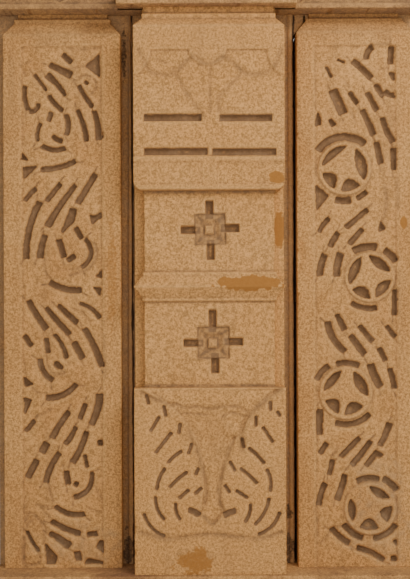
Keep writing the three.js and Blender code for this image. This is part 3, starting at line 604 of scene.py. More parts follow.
class Nodes:
    """Short ways to add and join nodes in one tree."""

    def __init__(self, tree):
        self.tree = tree

    def add(self, kind, inputs=None, **settings):
        node = self.tree.nodes.new(kind)
        for name, value in settings.items():
            setattr(node, name, value)
        for name, value in (inputs or {}).items():
            self.feed(node.inputs[name], value)
        return node

    def feed(self, socket, value):
        if isinstance(value, bpy.types.NodeSocket):
            self.tree.links.new(value, socket)
        else:
            socket.default_value = value

    def math(self, operation, a, b=0.0, clamp=False):
        node = self.add("ShaderNodeMath", operation=operation, use_clamp=clamp)
        self.feed(node.inputs[0], a)
        self.feed(node.inputs[1], b)
        return node.outputs[0]

    def mix(self, factor, a, b, blend="MIX"):
        node = self.add("ShaderNodeMix", data_type="RGBA", blend_type=blend, clamp_factor=True)
        self.feed(node.inputs[0], factor)
        self.feed(node.inputs[6], a)
        self.feed(node.inputs[7], b)
        return node.outputs[2]

    def ramp(self, value, low, high, to_low=0.0, to_high=1.0):
        node = self.add("ShaderNodeMapRange", interpolation_type="SMOOTHSTEP")
        limits = {"From Min": low, "From Max": high, "To Min": to_low, "To Max": to_high}
        for socket, number in limits.items():
            node.inputs[socket].default_value = number
        self.feed(node.inputs["Value"], value)
        return node.outputs["Result"]

    def noise(self, place, scale, detail=4.0, roughness=0.6, distortion=0.0):
        inputs = {"Vector": place, "Scale": scale, "Detail": detail}
        inputs.update({"Roughness": roughness, "Distortion": distortion})
        return self.add("ShaderNodeTexNoise", inputs).outputs["Fac"]

    def attribute(self, name):
        return self.add("ShaderNodeAttribute", attribute_type="GEOMETRY", attribute_name=name).outputs["Fac"]


def new_group(name, inputs, outputs):
    """A node group with its sockets, and the nodes that stand for its inputs and outputs."""
    tree = bpy.data.node_groups.new(name, "ShaderNodeTree")
    for label, kind, default in inputs:
        socket = tree.interface.new_socket(label, in_out="INPUT", socket_type=kind)
        if default is not None:
            socket.default_value = default
    for label, kind in outputs:
        tree.interface.new_socket(label, in_out="OUTPUT", socket_type=kind)
    nodes = Nodes(tree)
    return tree, nodes, nodes.add("NodeGroupInput"), nodes.add("NodeGroupOutput")


COLOUR, FLOAT, VECTOR = "NodeSocketColor", "NodeSocketFloat", "NodeSocketVector"


def sand_grain_group():
    """Grains, their pits, and the broad mottling of sandstone."""
    name = "Sand grain"
    if name in bpy.data.node_groups:
        return bpy.data.node_groups[name]
    tree, nodes, given, out = new_group(
        name,
        [("Place", VECTOR, None), ("Grain scale", FLOAT, 420.0)],
        [("Grain", FLOAT), ("Mottle", FLOAT), ("Height", FLOAT)],
    )
    place = given.outputs["Place"]
    fine = nodes.noise(place, given.outputs["Grain scale"], detail=2.0, roughness=0.7)
    coarse_scale = nodes.math("MULTIPLY", given.outputs["Grain scale"], 0.38)
    coarse = nodes.noise(place, coarse_scale, detail=3.0, roughness=0.65)
    grain = nodes.math("ADD", nodes.math("MULTIPLY", fine, 0.5), nodes.math("MULTIPLY", coarse, 0.5))
    broad = nodes.noise(place, 7.0, detail=5.0, roughness=0.62, distortion=0.4)
    nodes.feed(out.inputs["Grain"], nodes.ramp(grain, 0.34, 0.66))
    nodes.feed(out.inputs["Mottle"], nodes.ramp(broad, 0.32, 0.68))
    nodes.feed(out.inputs["Height"], grain)
    return tree


def soiling_and_shade_group():
    """Where soiling, dust and painted shade lie: soiling and painted shade in recesses and corners, dust in
    the recesses, and soiling in runs down the face.
    """
    name = "Lodged dirt"
    if name in bpy.data.node_groups:
        return bpy.data.node_groups[name]
    tree, nodes, given, out = new_group(
        name,
        [("Place", VECTOR, None), ("Hollow", FLOAT, 0.0), ("Corner", FLOAT, 0.0), ("Runs", FLOAT, 0.3)],
        [("Soiling and shade", FLOAT), ("Dust", FLOAT)],
    )
    place = given.outputs["Place"]
    uneven = nodes.ramp(nodes.noise(place, 60.0, detail=3.0), 0.3, 0.7, 0.55, 1.0)
    stretched = nodes.add("ShaderNodeMapping", {"Vector": place, "Scale": (26.0, 26.0, 3.0)}).outputs[0]
    runs = nodes.ramp(nodes.noise(stretched, 1.0, detail=3.0), 0.52, 0.78)
    runs = nodes.math("MULTIPLY", runs, given.outputs["Runs"])
    lodged_and_shaded = nodes.math("ADD", nodes.math("MULTIPLY", given.outputs["Hollow"], 0.62), given.outputs["Corner"])
    dirt_and_shade = nodes.math("ADD", nodes.math("MULTIPLY", lodged_and_shaded, uneven), runs, clamp=True)
    dust = nodes.ramp(nodes.noise(place, 34.0, detail=4.0), 0.5, 0.72)
    nodes.feed(out.inputs["Soiling and shade"], dirt_and_shade)
    nodes.feed(out.inputs["Dust"], nodes.math("MULTIPLY", dust, given.outputs["Hollow"]))
    return tree


def stain_group():
    """The speckled edges of a stain whose mask is painted on the stone."""
    name = "Broken stain"
    if name in bpy.data.node_groups:
        return bpy.data.node_groups[name]
    tree, nodes, given, out = new_group(
        name, [("Place", VECTOR, None), ("Mask", FLOAT, 0.0), ("Speckle", FLOAT, 160.0)], [("Stain", FLOAT)]
    )
    speckle = nodes.noise(given.outputs["Place"], given.outputs["Speckle"], detail=3.0, roughness=0.7)
    edge = nodes.math("ADD", given.outputs["Mask"], nodes.math("MULTIPLY", speckle, 0.7))
    nodes.feed(out.inputs["Stain"], nodes.ramp(edge, 0.62, 1.05))
    return tree


def sandstone(name, body, settings, grain_scale, runs):
    """The sandstone of one piece, from the shared groups."""
    material = bpy.data.materials.new(name)
    material.use_nodes = True
    tree = material.node_tree
    tree.nodes.clear()
    nodes = Nodes(tree)
    place = nodes.add("ShaderNodeTexCoord").outputs["Object"]

    def group(node_tree, **inputs):
        node = nodes.add("ShaderNodeGroup")
        node.node_tree = node_tree
        for label, value in inputs.items():
            nodes.feed(node.inputs[label.replace("_", " ")], value)
        return node.outputs

    sand = group(sand_grain_group(), Place=place, Grain_scale=grain_scale)
    dirt_and_shade = group(
        soiling_and_shade_group(), Place=place, Hollow=nodes.attribute("hollow"), Corner=nodes.attribute("grime_and_shade"), Runs=runs
    )
    iron = group(stain_group(), Place=place, Mask=nodes.attribute("iron"), Speckle=150.0)
    soot = group(stain_group(), Place=place, Mask=nodes.attribute("soot"), Speckle=220.0)
    bloom = group(stain_group(), Place=place, Mask=nodes.attribute("bloom"), Speckle=40.0)

    stone = nodes.mix(sand["Mottle"], body, settings.mottle)
    grain_tone = nodes.ramp(sand["Grain"], 0.0, 1.0, 0.60, 1.38)
    grain_grey = nodes.add("ShaderNodeCombineColor", {0: grain_tone, 1: grain_tone, 2: grain_tone}).outputs[0]
    stone = nodes.mix(1.0, stone, grain_grey, "MULTIPLY")
    # Painted highlight and rubbed wear on the high places, then soiling and painted shade in recesses and
    # creases.
    stone = nodes.mix(nodes.math("MULTIPLY", nodes.attribute("crest_wear_and_highlight"), 0.35), stone, settings.crest_wear_and_highlight)
    stone = nodes.mix(nodes.math("MULTIPLY", dirt_and_shade["Soiling and shade"], 0.85), stone, settings.dirt_and_shade)
    stone = nodes.mix(nodes.math("MULTIPLY", dirt_and_shade["Dust"], 0.35), stone, settings.dust)
    stone = nodes.mix(nodes.math("MULTIPLY", bloom["Stain"], 0.55), stone, settings.bloom)
    stone = nodes.mix(nodes.math("MULTIPLY", iron["Stain"], 0.88), stone, settings.iron)
    stone = nodes.mix(nodes.math("MULTIPLY", soot["Stain"], 0.92), stone, settings.soot)
    relief = {"Height": sand["Height"], "Strength": 0.55, "Distance": 0.0016}
    bump = nodes.add("ShaderNodeBump", relief).outputs[0]
    surface = nodes.add(
        "ShaderNodeBsdfPrincipled",
        {"Base Color": stone, "Roughness": 0.93, "Metallic": 0.0, "IOR": 1.45, "Normal": bump},
    )
    surface.inputs["Specular IOR Level"].default_value = 0.25
    output = nodes.add("ShaderNodeOutputMaterial")
    nodes.feed(output.inputs["Surface"], surface.outputs[0])
    return material


# ---- Settings ------------------------------------------------------------------------------------


def colour(label, description, value):
    return bpy.props.FloatVectorProperty(
        name=label, description=description, subtype="COLOR", size=4, min=0, max=1, default=(*value, 1.0)
    )


def length(label, description, value):
    return bpy.props.FloatProperty(
        name=label, description=description, default=value, min=0, unit="LENGTH", precision=4
    )


def power(label, description, value):
    return bpy.props.FloatProperty(name=label, description=description, default=value, min=0)


class SandstoneSettings(bpy.types.PropertyGroup):
    """Colours of the sandstone and of what lies on it"""

    scroll_stone: colour("Scroll slab", "Body colour of the scroll slab", (0.425, 0.203, 0.064))
    pilaster_stone: colour("Pilaster", "Body colour of the pilaster", (0.485, 0.238, 0.074))
    star_stone: colour("Star slab", "Body colour of the star slab", (0.430, 0.208, 0.066))
    cornice_stone: colour("Cornice", "Body colour of the cornice", (0.31, 0.157, 0.066))
    ledge_stone: colour("Ledge", "Body colour of the ledge", (0.205, 0.090, 0.036))
    mottle: colour("Mottle", "Paler colour of the mottling", (0.505, 0.258, 0.085))
    # Lighter colour laid on the high places as rubbed wear and painted highlight.
    crest_wear_and_highlight: colour("Crests", "Colour of the rubbed high places", (0.61, 0.335, 0.125))
    # Dark colour laid as soiling in runs down the face, and as soiling and painted shade in recesses, creases
    # and slots.
    dirt_and_shade: colour("Soiling and shade", "Colour of the dirt lodged in hollows", (0.155, 0.088, 0.047))
    dust: colour("Dust", "Colour of the dust on slot floors", (0.33, 0.205, 0.110))
    iron: colour("Iron stain", "Orange stain of iron in the stone", (0.300, 0.122, 0.024))
    soot: colour("Crust", "Black crust in the channels", (0.045, 0.026, 0.017))
    bloom: colour("Bloom", "Grey-green growth low on the stones", (0.285, 0.195, 0.112))


class CarvingSettings(bpy.types.PropertyGroup):
    """Sizes of the worn carving"""

    slab_grid: length("Slab grid", "Spacing of the mesh in the carved fields of the slabs", 0.0021)
    pilaster_grid: length("Pilaster grid", "Spacing of the mesh on the carved parts of the pilaster", 0.0024)
    plain_grid: length("Plain grid", "Spacing of the mesh on plain stone", 0.0045)
    arris: length("Arris", "Radius of the worn outer edges", 0.0028)
    rim: length("Rim", "Radius of the rounded rims of the slots", 0.0042)
    chipping: length("Chipping", "How far the rims of the slots wander", 0.0014)


class StageSettings(bpy.types.PropertyGroup):
    """Camera, lights and floor"""

    camera_height: length("Camera height", "Height of the camera above the floor", 0.721)
    camera_distance: length("Camera distance", "From the camera to the pilaster's front", 2.8)
    view_width: length("View width", "Width of what the camera sees at the pilaster's front", 0.984)
    camera_roll: bpy.props.FloatProperty(
        name="Camera roll",
        description="Turn of the camera about its view",
        default=math.radians(0.23),
        subtype="ANGLE",
    )
    key_power: power("Key light", "Power of the key light in watts", 56.0)
    fill_power: power("Fill light", "Power of the fill light in watts", 12.0)
    front_power: power("Front light", "Power of the front light in watts", 38.0)
    world_strength: power("World", "Strength of the even light", 0.42)
    floor_colour: colour("Floor", "Colour of the floor", (0.72, 0.71, 0.69))


# ---- Slabs ---------------------------------------------------------------------------------------


def slab_outline(face):
    """Half width of a slab's face from the foot up: straight, then drawn in at the neck."""
    half = (face["right"] - face["left"]) / 2
    chamfer = face["chamfer"]
    return [
        (LEDGE_TOP + BED, half), (chamfer, half), (chamfer + 32, half - 25),
        (SOFFIT - 13.1, half - 25), (SOFFIT - 12.9, half - 33), (SOFFIT - BED, half - 33),
    ]


def slab_front(node, face, groups, seed):
    """The face of a side slab, read from the CAD, with its slots worn and its arrises rounded."""
    carving = bpy.context.scene.panel_carving
    middle = (face["left"] + face["right"]) / 2
    reader = outline_reader(slab_outline(face), middle)
    front = Front(face["left"], face["right"], LEDGE_TOP + BED, SOFFIT - BED, SLAB_FACE, seed)
    front.cast(node, reader)
    plain = np.where(front.depth > SLAB_FACE + FIELD_SINK + 4, SLAB_FACE + FIELD_SINK, front.depth)
    inside_field = np.abs(front.x[None, :] - face["field"]) < face["field_half"] + 1
    carved = inside_field & (front.z[:, None] < FIELD_TOP + 1)
    ground = np.where(carved, plain, front.depth)
    where = carved & (front.depth > SLAB_FACE + FIELD_SINK + 5)
    ground = blurred(ground, 0.9)
    slot_depth = float(np.median(front.depth[where])) - SLAB_FACE - FIELD_SINK
    slots = front.slots(groups, face["field"])
    if node == "star_slab":
        slots |= front.roundel_slots(where, face["field"])
    slots = carved & (blurred(slots.astype(float), 1.9) > 0.5)
    front.depth = ground + slot_depth * slots
    front.carve_slots(slots, ground, carving.rim / MM, carving.chipping / MM)
    # Soiling and painted shade along the run-out grooves.
    for width, depth, path in front.run_outs(groups, face["field"]):
        front.engrave(path, width, depth)
        front.lay("grime_and_shade", 0.5 * np.exp(-((front.distance_to(path) / 2.6) ** 2)))
    # The slots lose this soiling and painted shade, and a darker ring of it is laid around them.
    front.masks["grime_and_shade"] *= 1.0 - slots
    front.masks["grime_and_shade"] = front.masks["grime_and_shade"] + 0.34 * blurred(slots.astype(float), 5.0)
    return front, reader


def round_arrises(front, reader):
    """Rounds the outer upright edges of a front, with chips here and there."""
    arris = bpy.context.scene.panel_carving.arris / MM
    middles, halves = np.array([reader(z) for z in front.z]).T
    distance = halves[:, None] - np.abs(front.x[None, :] - middles[:, None])
    wander = 1 + 0.5 * front.noise(30.0, 8.0)
    radius = arris * (wander + 2.2 * smoothstep(0.45, 0.8, front.noise(26.0, 11.0)))
    front.depth += rounded_edge(np.clip(distance, 0, None), radius)


def stain_channel(floor, shade_to, joint, crusts):
    """Painted shade on a channel's floor as far as its roll, a ragged black edge at the joint, and crusts."""
    floor.read_relief()
    x = floor.x[None, :] + 0 * floor.z[:, None]
    floor.masks["bloom"][:] = 0.55
    # Painted shade on the floor, darker up to shade_to.
    floor.masks["hollow"] = 0.02 + 0.14 * (1 - smoothstep(shade_to - 2, shade_to + 2, x))
    line = joint + 1.6 * floor.noise(60.0, 22.0)
    away = np.abs(x - line) / (1.5 + 1.5 * np.clip(floor.noise(30.0, 9.0), -0.3, 1))
    floor.depth += 4.0 * (1 - smoothstep(0.6, 1.6, away))
    floor.masks["soot"] = 0.9 * (1 - smoothstep(0.8, 1.5, away))
    for crust in crusts:
        floor.patch("soot", *crust, 0.55, 0.9)


def face_grid(face, fine, plain):
    """Column reader and rows of a slab's face: fine over the carved field, wider over the plain frame."""
    middle = (face["left"] + face["right"]) / 2
    half = (face["right"] - face["left"]) / 2
    field = (face["field"] - face["field_half"], face["field"] + face["field_half"])
    zones = [
        (face["left"], face["left"] + 3, 1.0), (face["left"] + 3, field[0] - 1, plain),
        (field[0] - 1, field[1] + 1, fine),
        (field[1] + 1, face["right"] - 3, plain), (face["right"] - 3, face["right"], 1.0),
    ]
    across = (spaced(zones) - middle) / half
    reader = outline_reader(slab_outline(face), middle)
    zones = [(LEDGE_TOP + BED, FIELD_TOP + 2, fine), (FIELD_TOP + 2, SOFFIT - BED, 3.0)]
    rows = spaced(zones, keys=[face["chamfer"], face["chamfer"] + 32, SOFFIT - 13])

    def columns(z):
        centre, reach = reader(z)
        return centre + across * reach

    return columns, rows


def straight_edge(x):
    return [(LEDGE_TOP, x), (SOFFIT, x)]


def leaning_edge(x, rise, inset):
    """An edge that leans in beside a neck, as (height, x) from the foot up."""
    return [(LEDGE_TOP, x), (JOINT_LEANS, x), (JOINT_LEANS + rise, x + inset), (SOFFIT, x + inset)]


def core_shell(name, left_edge, right_edge, front, rows, channel):
    """The plain stone behind a face, with its channel's floor. Edges are (height, x) from the foot up."""
    lefts, rights = np.array(left_edge, float).T, np.array(right_edge, float).T
    near, far = channel

    def columns(z):
        start = float(np.interp(z, lefts[0], lefts[1]))
        end = float(np.interp(z, rights[0], rights[1]))
        first = np.linspace(start, near, 5)
        middle = np.linspace(near, far, 5)[1:-1]
        last = np.linspace(far, end, 30)
        return np.concatenate([first, middle, last])

    return stone_shell(name, front, columns, rows, BACK)


# ---- Operators -----------------------------------------------------------------------------------


class PANEL_OT_scroll_slab(bpy.types.Operator):
    """Carve the slab with the waving leaf scroll"""

    bl_idname = "panel.scroll_slab"
    bl_label = "Scroll slab"

    def execute(self, context):
        carving, colours = context.scene.panel_carving, context.scene.panel_sandstone
        front, reader = slab_front("scroll_slab", SCROLL_FACE, SCROLL_SLOTS, seed=11)
        front.wear(grain=0.16, pits=0.7, dents=0.5)
        front.read_relief()
        front.draw(SCROLL_LINES, SCROLL_FACE["field"], LEDGE_TOP)
        # Darker band across the top of the slab, under the cornice.
        front.patch("grime_and_shade", -358, 1372, 165, 50, 0.32, 0.6)
        front.patch("bloom", -300, 90, 120, 80, 0.4, 0.8)
        front.patch("iron", -235, 760, 14, 160, 0.45)
        round_arrises(front, reader)
        columns, rows = face_grid(SCROLL_FACE, carving.slab_grid / MM, carving.plain_grid / MM)
        face = stone_shell("scroll_face", front, columns, rows, CHANNEL_FLOOR + HIDDEN)
        left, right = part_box("scroll_slab")[0].x / MM, -182.0
        floor = Front(left, right + 25, LEDGE_TOP + BED, SOFFIT - BED, CHANNEL_FLOOR, seed=12)
        floor.wear(grain=0.2, pits=1.0, dents=0.8)
        roll = np.interp(floor.z, [60, 700, 1350], [8.5, 6.5, 1.5])[:, None]
        floor.roll(-191.5, roll, 7.0)
        stain_channel(floor, -203.0, -186.0, [(-198, 70, 18, 45), (-207, 1300, 7, 70)])
        # Painted shade on the narrow lip at the slab's left end.
        floor.lay("hollow", 0.7 * (floor.x[None, :] < SCROLL_FACE["left"] + 3))
        core = core_shell(
            "scroll_core", straight_edge(left), leaning_edge(right, *PILASTER_NECK), floor,
            spaced([(LEDGE_TOP + BED, SOFFIT - BED, 4.0)]), (left + 19, SCROLL_FACE["right"] - 2),
        )
        stone = joined([face, core], "scroll_relief")
        material = sandstone("Scroll slab sandstone", colours.scroll_stone, colours, GRAIN_SCALE, 0.25)
        settle(stone, "scroll_slab", material)
        return {"FINISHED"}


class PANEL_OT_star_slab(bpy.types.Operator):
    """Carve the slab with the star roundels"""

    bl_idname = "panel.star_slab"
    bl_label = "Star slab"

    def execute(self, context):
        carving, colours = context.scene.panel_carving, context.scene.panel_sandstone
        front, reader = slab_front("star_slab", STAR_FACE, TENDRIL_SLOTS, seed=31)
        front.wear(grain=0.16, pits=0.7, dents=0.5)
        front.read_relief()
        front.draw(STAR_LINES, STAR_FACE["field"], LEDGE_TOP)
        turn = np.linspace(0, 2 * math.pi, 49)
        circle = np.stack([np.cos(turn), np.sin(turn)], axis=1)
        rings = [(4, 1.3, np.array([u, v]) + r * circle) for u, v, r in ROUNDELS]
        front.draw(rings, STAR_FACE["field"], LEDGE_TOP)
        for u, v in STAR_PITS:
            front.chip(STAR_FACE["field"] + u, LEDGE_TOP + v, 4, 5, 3.0)
        front.chip(226, 803, 11, 42, 4.5)
        # Darker band across the top of the slab, under the cornice.
        front.patch("grime_and_shade", 366, 1376, 165, 44, 0.3, 0.6)
        front.patch("iron", 484, 884, 9, 16, 0.9)
        front.patch("bloom", 440, 170, 90, 190, 0.42, 0.8)
        round_arrises(front, reader)
        columns, rows = face_grid(STAR_FACE, carving.slab_grid / MM, carving.plain_grid / MM)
        face = stone_shell("star_face", front, columns, rows, CHANNEL_FLOOR + HIDDEN)
        left, right = STAR_FACE["left"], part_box("star_slab")[1].x / MM
        floor = Front(left, right, LEDGE_TOP + BED, SOFFIT - BED, CHANNEL_FLOOR, seed=32)
        floor.wear(grain=0.2, pits=1.0, dents=0.8)
        stain_channel(floor, left + 30, left, [])
        core = core_shell(
            "star_core", leaning_edge(left, *SLAB_NECK), straight_edge(right), floor,
            spaced([(LEDGE_TOP + BED, SOFFIT - BED, 6.0)]), (left + 35, STAR_FACE["right"] - 2),
        )
        stone = joined([face, core], "star_relief")
        material = sandstone("Star slab sandstone", colours.star_stone, colours, GRAIN_SCALE, 0.25)
        settle(stone, "star_slab", material)
        return {"FINISHED"}


class PANEL_OT_pilaster(bpy.types.Operator):
    """Carve the pilaster with its head, cross blocks, ridge and vase"""

    bl_idname = "panel.pilaster"
    bl_label = "Pilaster"

    def execute(self, context):
        carving, colours = context.scene.panel_carving, context.scene.panel_sandstone
        fine, plain = carving.pilaster_grid / MM, carving.plain_grid / MM
        reader = outline_reader(PILASTER_OUTLINE, PILASTER_AXIS)
        left, right = PILASTER_AXIS - PILASTER_HALF, PILASTER_AXIS + PILASTER_HALF
        front = Front(left, right, LEDGE_TOP + BED, SOFFIT - BED, 0.0, seed=21)
        front.cast("pilaster", reader)
        foot = front.z[:, None] < 484
        head = front.z[:, None] > 985
        where = (foot & (front.depth > 8)) | (head & (front.z[:, None] < 1290) & (front.depth > 10))
        ground = np.where(where, np.where(foot, 0.0, 4.0), front.depth)
        front.carve_slots(where, blurred(ground, 0.9), 2.2, 0.6)
        front.wear(grain=0.16, pits=0.7, dents=0.5)
        front.read_relief()
        front.draw(HEAD_LINES, PILASTER_AXIS, LEDGE_TOP)
        front.draw([(wide, 1.5 * deep, line) for wide, deep, line in VASE_LINES], PILASTER_AXIS, LEDGE_TOP)
        front.patch("grime_and_shade", 6, 375, 58, 75, 0.24, 0.5)
        for u, v, half, turn in CROSS_MOUTHS:
            across, up = front.x[None, :] - PILASTER_AXIS - u, front.z[:, None] - LEDGE_TOP - v
            face = float(np.median(front.depth[(np.abs(across) < 95) & (np.abs(up) < 60)]))
            c, n = math.cos(math.radians(turn)), math.sin(math.radians(turn))
            square = np.maximum(np.abs(across * c + up * n), np.abs(up * c - across * n))
            square = square + front.noise(12.0, 5.0)
            mouth = 1 - smoothstep(half - 1.2, half + 1.2, square)
            inner = np.maximum(np.abs(across + 2), np.abs(up + 1))
            boss = 1 - smoothstep(9.0, 12.5, inner)
            floor = face + CROSS_STEP + 5.0 * (1 - smoothstep(15.0, 27.0, inner))
            sunk = floor * (1 - boss) + (face + 4.5) * boss
            front.depth = front.depth * (1 - mouth) + sunk * mouth
            # Painted shade along the edge of each cross's mouth and round its boss, in the sunk mouth, and on
            # the deep parts near the cross.
            outer_edge = np.exp(-(((square - half) / 2.4) ** 2))
            boss_edge = 0.6 * np.exp(-(((inner - 13) / 2.0) ** 2)) * mouth
            front.lay("grime_and_shade", np.clip(0.9 * (outer_edge + boss_edge), 0, 1))
            front.lay("hollow", mouth * (1 - 0.6 * boss))
            near = np.maximum(np.abs(across), np.abs(up)) < 85
            front.lay("hollow", 0.9 * smoothstep(13.0, 16.0, front.depth - face) * near)
        for u, v, radius in VASE_BOSSES:
            away = np.hypot(front.x[None, :] - PILASTER_AXIS - u, front.z[:, None] - LEDGE_TOP - v)
            front.depth -= 2.2 * (1 - smoothstep(0.35 * radius, radius, away))
            front.depth += 1.2 * np.exp(-(((away - 1.12 * radius) / 2.5) ** 2))
        front.depth = np.maximum(front.depth, 0.0)
        front.patch("iron", 100, 736, 88, 19, 0.85, 0.4)
        front.patch("iron", 168, 990, 20, 15, 0.9)
        front.patch("iron", -36, 68, 58, 30, 0.62, 0.7)
        front.patch("grime_and_shade", -30, 70, 52, 26, 0.35, 0.8)
        round_arrises(front, reader)
        zones = [(left, left + 3, 1.0), (left + 3, right - 3, fine), (right - 3, right, 1.0)]
        across = (spaced(zones) - PILASTER_AXIS) / PILASTER_HALF
        keys = [484.5, 693.5, 700.5, 728.2, 755.8, 763, 960, 973.8, 1029, 1041, 1298, 1356, 1377, 1390]
        rows = spaced(
            [(LEDGE_TOP + BED, 484.5, fine), (484.5, 693.5, 3.2), (693.5, 763, 2.4), (763, 960, 3.2),
             (960, SOFFIT - BED, fine)],
            keys,
        )

        def columns(z):
            centre, reach = reader(z)
            return centre + across * reach

        carved = stone_shell("pilaster_front", front, columns, rows, SHAFT_FACE + HIDDEN)
        rise, inset = PILASTER_NECK
        neck = leaning_edge(PILASTER_HALF, rise, -inset)
        strips = Front(left, right, LEDGE_TOP + BED, SOFFIT - BED, SHAFT_FACE, seed=22)
        strips.wear(grain=0.16, pits=0.6, dents=0.4)
        strips.read_relief()
        strips.patch("iron", 176, 868, 16, 48, 0.85)
        strip_reader = outline_reader(neck, PILASTER_AXIS)
        round_arrises(strips, strip_reader)
        strip_lines = np.concatenate([
            np.linspace(-1, -0.985, 3), np.linspace(-0.985, -0.85, 7)[1:], np.linspace(-0.85, 0.85, 5)[1:],
            np.linspace(0.85, 0.985, 7)[1:], np.linspace(0.985, 1, 3)[1:],
        ])

        def strip_columns(z):
            centre, reach = strip_reader(z)
            return centre + strip_lines * reach

        plain_rows = spaced([(LEDGE_TOP + BED, SOFFIT - BED, 4.0)], [1356, 1377])
        shaft = stone_shell("pilaster_shaft", strips, strip_columns, plain_rows, CHANNEL_FLOOR + HIDDEN)
        far = 217.5
        floor = Front(left, far + 25, LEDGE_TOP + BED, SOFFIT - BED, CHANNEL_FLOOR, seed=23)
        floor.wear(grain=0.2, pits=1.0, dents=0.8)
        floor.roll(209.5, 6.5, 6.0)
        stain_channel(floor, 203.0, far, [(200, 165, 12, 22), (202, 75, 14, 40)])
        core = core_shell(
            "pilaster_core", leaning_edge(left, *PILASTER_NECK), leaning_edge(far, *SLAB_NECK), floor,
            spaced([(LEDGE_TOP + BED, SOFFIT - BED, 4.0)]), (left + 30, right - 25),
        )
        stone = joined([carved, shaft, core], "pilaster_relief")
        material = sandstone("Pilaster sandstone", colours.pilaster_stone, colours, GRAIN_SCALE, 0.2)
        settle(stone, "pilaster", material)
        return {"FINISHED"}


class PANEL_OT_courses(bpy.types.Operator):
    """Dress the cornice and the ledge"""

    bl_idname = "panel.courses"
    bl_label = "Cornice and ledge"

    def execute(self, context):
        colours = context.scene.panel_sandstone
        low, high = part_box("cornice")
        left, right, top = low.x / MM, high.x / MM, high.z / MM
        shells = []
        parts = (("cornice_side", left, right, 47, 41), ("cornice_break", -217, 217, -6, 42))
        for name, start, end, depth, seed in parts:
            front = Front(start, end, SOFFIT, top, depth, seed)
            front.depth += np.where(front.z[:, None] > SOFFIT + 13, 6.0, 0.0)
            front.depth = blurred(front.depth, 1.2)
            front.wear(grain=0.2, pits=0.8, dents=0.6)
            front.depth = np.maximum(front.depth, depth)
            for place, half in ((-360, 13), (-222, 4), (9, 20), (232, 4), (361, 17)):
                front.chip(place, top - 2, half, 15, 7.0)
            # Painted shade on the set-back lengths of the cornice; the length that stands forward gets none.
            front.lay("grime_and_shade", 0.5 if depth > 0 else 0.0)
            front.depth += rounded_edge(front.z[:, None] - SOFFIT + 0 * front.x[None, :], 2.5)
            front.read_relief()
            lines = spaced([(start, end, 4.0)])
            rows = spaced([(SOFFIT, SOFFIT + 4, 1.0), (SOFFIT + 4, top, 2.5)])
            back = BACK if depth > 0 else 60.0
            shells.append(stone_shell(name, front, lambda z, lines=lines: lines, rows, back))
        stone = joined(shells, "cornice_course")
        material = sandstone("Cornice sandstone", colours.cornice_stone, colours, GRAIN_SCALE, 0.3)
        settle(stone, "cornice", material)
        low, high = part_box("ledge")
        left, right = low.x / MM, high.x / MM
        front = Front(left, right, 0, LEDGE_TOP, -10.0, seed=51)
        front.wear(grain=0.25, pits=1.0, dents=0.8)
        front.depth = np.maximum(front.depth, -10.0)
        front.depth += rounded_edge(LEDGE_TOP - front.z[:, None] + 0 * front.x[None, :], 5.0)
        front.read_relief()
        lines = spaced([(left, right, 4.0)])
        rows = spaced([(0, LEDGE_TOP - 6, 4.0), (LEDGE_TOP - 6, LEDGE_TOP, 1.0)])
        shell = stone_shell("ledge_front", front, lambda z: lines, rows, BACK)
        stone = joined([shell], "ledge_course")
        material = sandstone("Ledge sandstone", colours.ledge_stone, colours, GRAIN_SCALE, 0.3)
        settle(stone, "ledge", material)
        return {"FINISHED"}


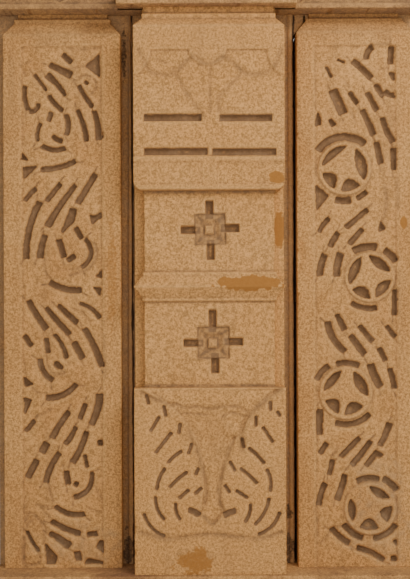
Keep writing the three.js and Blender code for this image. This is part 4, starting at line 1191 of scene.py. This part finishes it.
class PANEL_OT_stage(bpy.types.Operator):
    """Set the floor, the lights and the camera"""

    bl_idname = "panel.stage"
    bl_label = "Stage"

    def execute(self, context):
        stage = context.scene.panel_stage
        start_afresh()
        bpy.ops.mesh.primitive_plane_add(size=12, location=(0, 0, 0))
        floor = context.object
        floor.name = "floor"
        material = bpy.data.materials.new("Pale floor")
        material.use_nodes = True
        surface = material.node_tree.nodes["Principled BSDF"]
        surface.inputs["Base Color"].default_value = stage.floor_colour
        surface.inputs["Roughness"].default_value = 0.8
        floor.data.materials.append(material)

        world = bpy.data.worlds.new("Even light")
        world.use_nodes = True
        backdrop = world.node_tree.nodes["Background"]
        backdrop.inputs["Color"].default_value = (1.0, 0.98, 0.95, 1)
        backdrop.inputs["Strength"].default_value = stage.world_strength
        context.scene.world = world

        target = Vector((0, depth_to_y(60) * MM, 0.72))
        lights = (
            ("key", (1.5, -2.0, 2.5), 1.1, stage.key_power, (1.0, 0.97, 0.92)),
            ("fill", (-2.2, -2.6, 1.2), 2.4, stage.fill_power, (1.0, 0.98, 0.96)),
            ("front", (0.3, -3.2, 1.0), 2.2, stage.front_power, (1.0, 0.98, 0.95)),
        )
        for name, place, size, power, tint in lights:
            bpy.ops.object.light_add(type="AREA", location=place)
            light = context.object
            light.name = name
            light.data.size = size
            light.data.energy = power
            light.data.color = tint
            light.rotation_euler = (target - Vector(place)).to_track_quat("-Z", "Y").to_euler()

        eye = depth_to_y(0) * MM - stage.camera_distance
        bpy.ops.object.camera_add(location=(-0.006, eye, stage.camera_height))
        camera = context.object
        camera.name = "camera"
        camera.rotation_euler = (math.radians(90), stage.camera_roll, 0)
        camera.data.sensor_fit = "HORIZONTAL"
        camera.data.sensor_width = 36.0
        camera.data.lens = 36.0 * stage.camera_distance / stage.view_width
        camera.data.clip_start = 0.05
        context.scene.camera = camera
        return {"FINISHED"}


class PANEL_PT_sidebar(bpy.types.Panel):
    """Sizes, colours and steps of the stone panel"""

    bl_idname = "PANEL_PT_sidebar"
    bl_label = "Stone panel"
    bl_space_type = "VIEW_3D"
    bl_region_type = "UI"
    bl_category = "Stone panel"

    def draw(self, context):
        scene = context.scene
        for group in (scene.panel_sandstone, scene.panel_carving, scene.panel_stage):
            box = self.layout.box()
            for name in group.__annotations__:
                box.prop(group, name)
        for operator in OPERATORS:
            self.layout.operator(operator.bl_idname)


OPERATORS = (
    PANEL_OT_scroll_slab,
    PANEL_OT_pilaster,
    PANEL_OT_star_slab,
    PANEL_OT_courses,
    PANEL_OT_stage,
)
CLASSES = (SandstoneSettings, CarvingSettings, StageSettings, *OPERATORS, PANEL_PT_sidebar)


def register():
    for cls in CLASSES:
        bpy.utils.register_class(cls)
    bpy.types.Scene.panel_sandstone = bpy.props.PointerProperty(type=SandstoneSettings)
    bpy.types.Scene.panel_carving = bpy.props.PointerProperty(type=CarvingSettings)
    bpy.types.Scene.panel_stage = bpy.props.PointerProperty(type=StageSettings)


def unregister():
    del bpy.types.Scene.panel_stage
    del bpy.types.Scene.panel_carving
    del bpy.types.Scene.panel_sandstone
    for cls in reversed(CLASSES):
        bpy.utils.unregister_class(cls)


def main():
    register()
    bpy.ops.panel.scroll_slab()
    bpy.ops.panel.pilaster()
    bpy.ops.panel.star_slab()
    bpy.ops.panel.courses()
    bpy.ops.panel.stage()


if __name__ == "__main__":
    main()
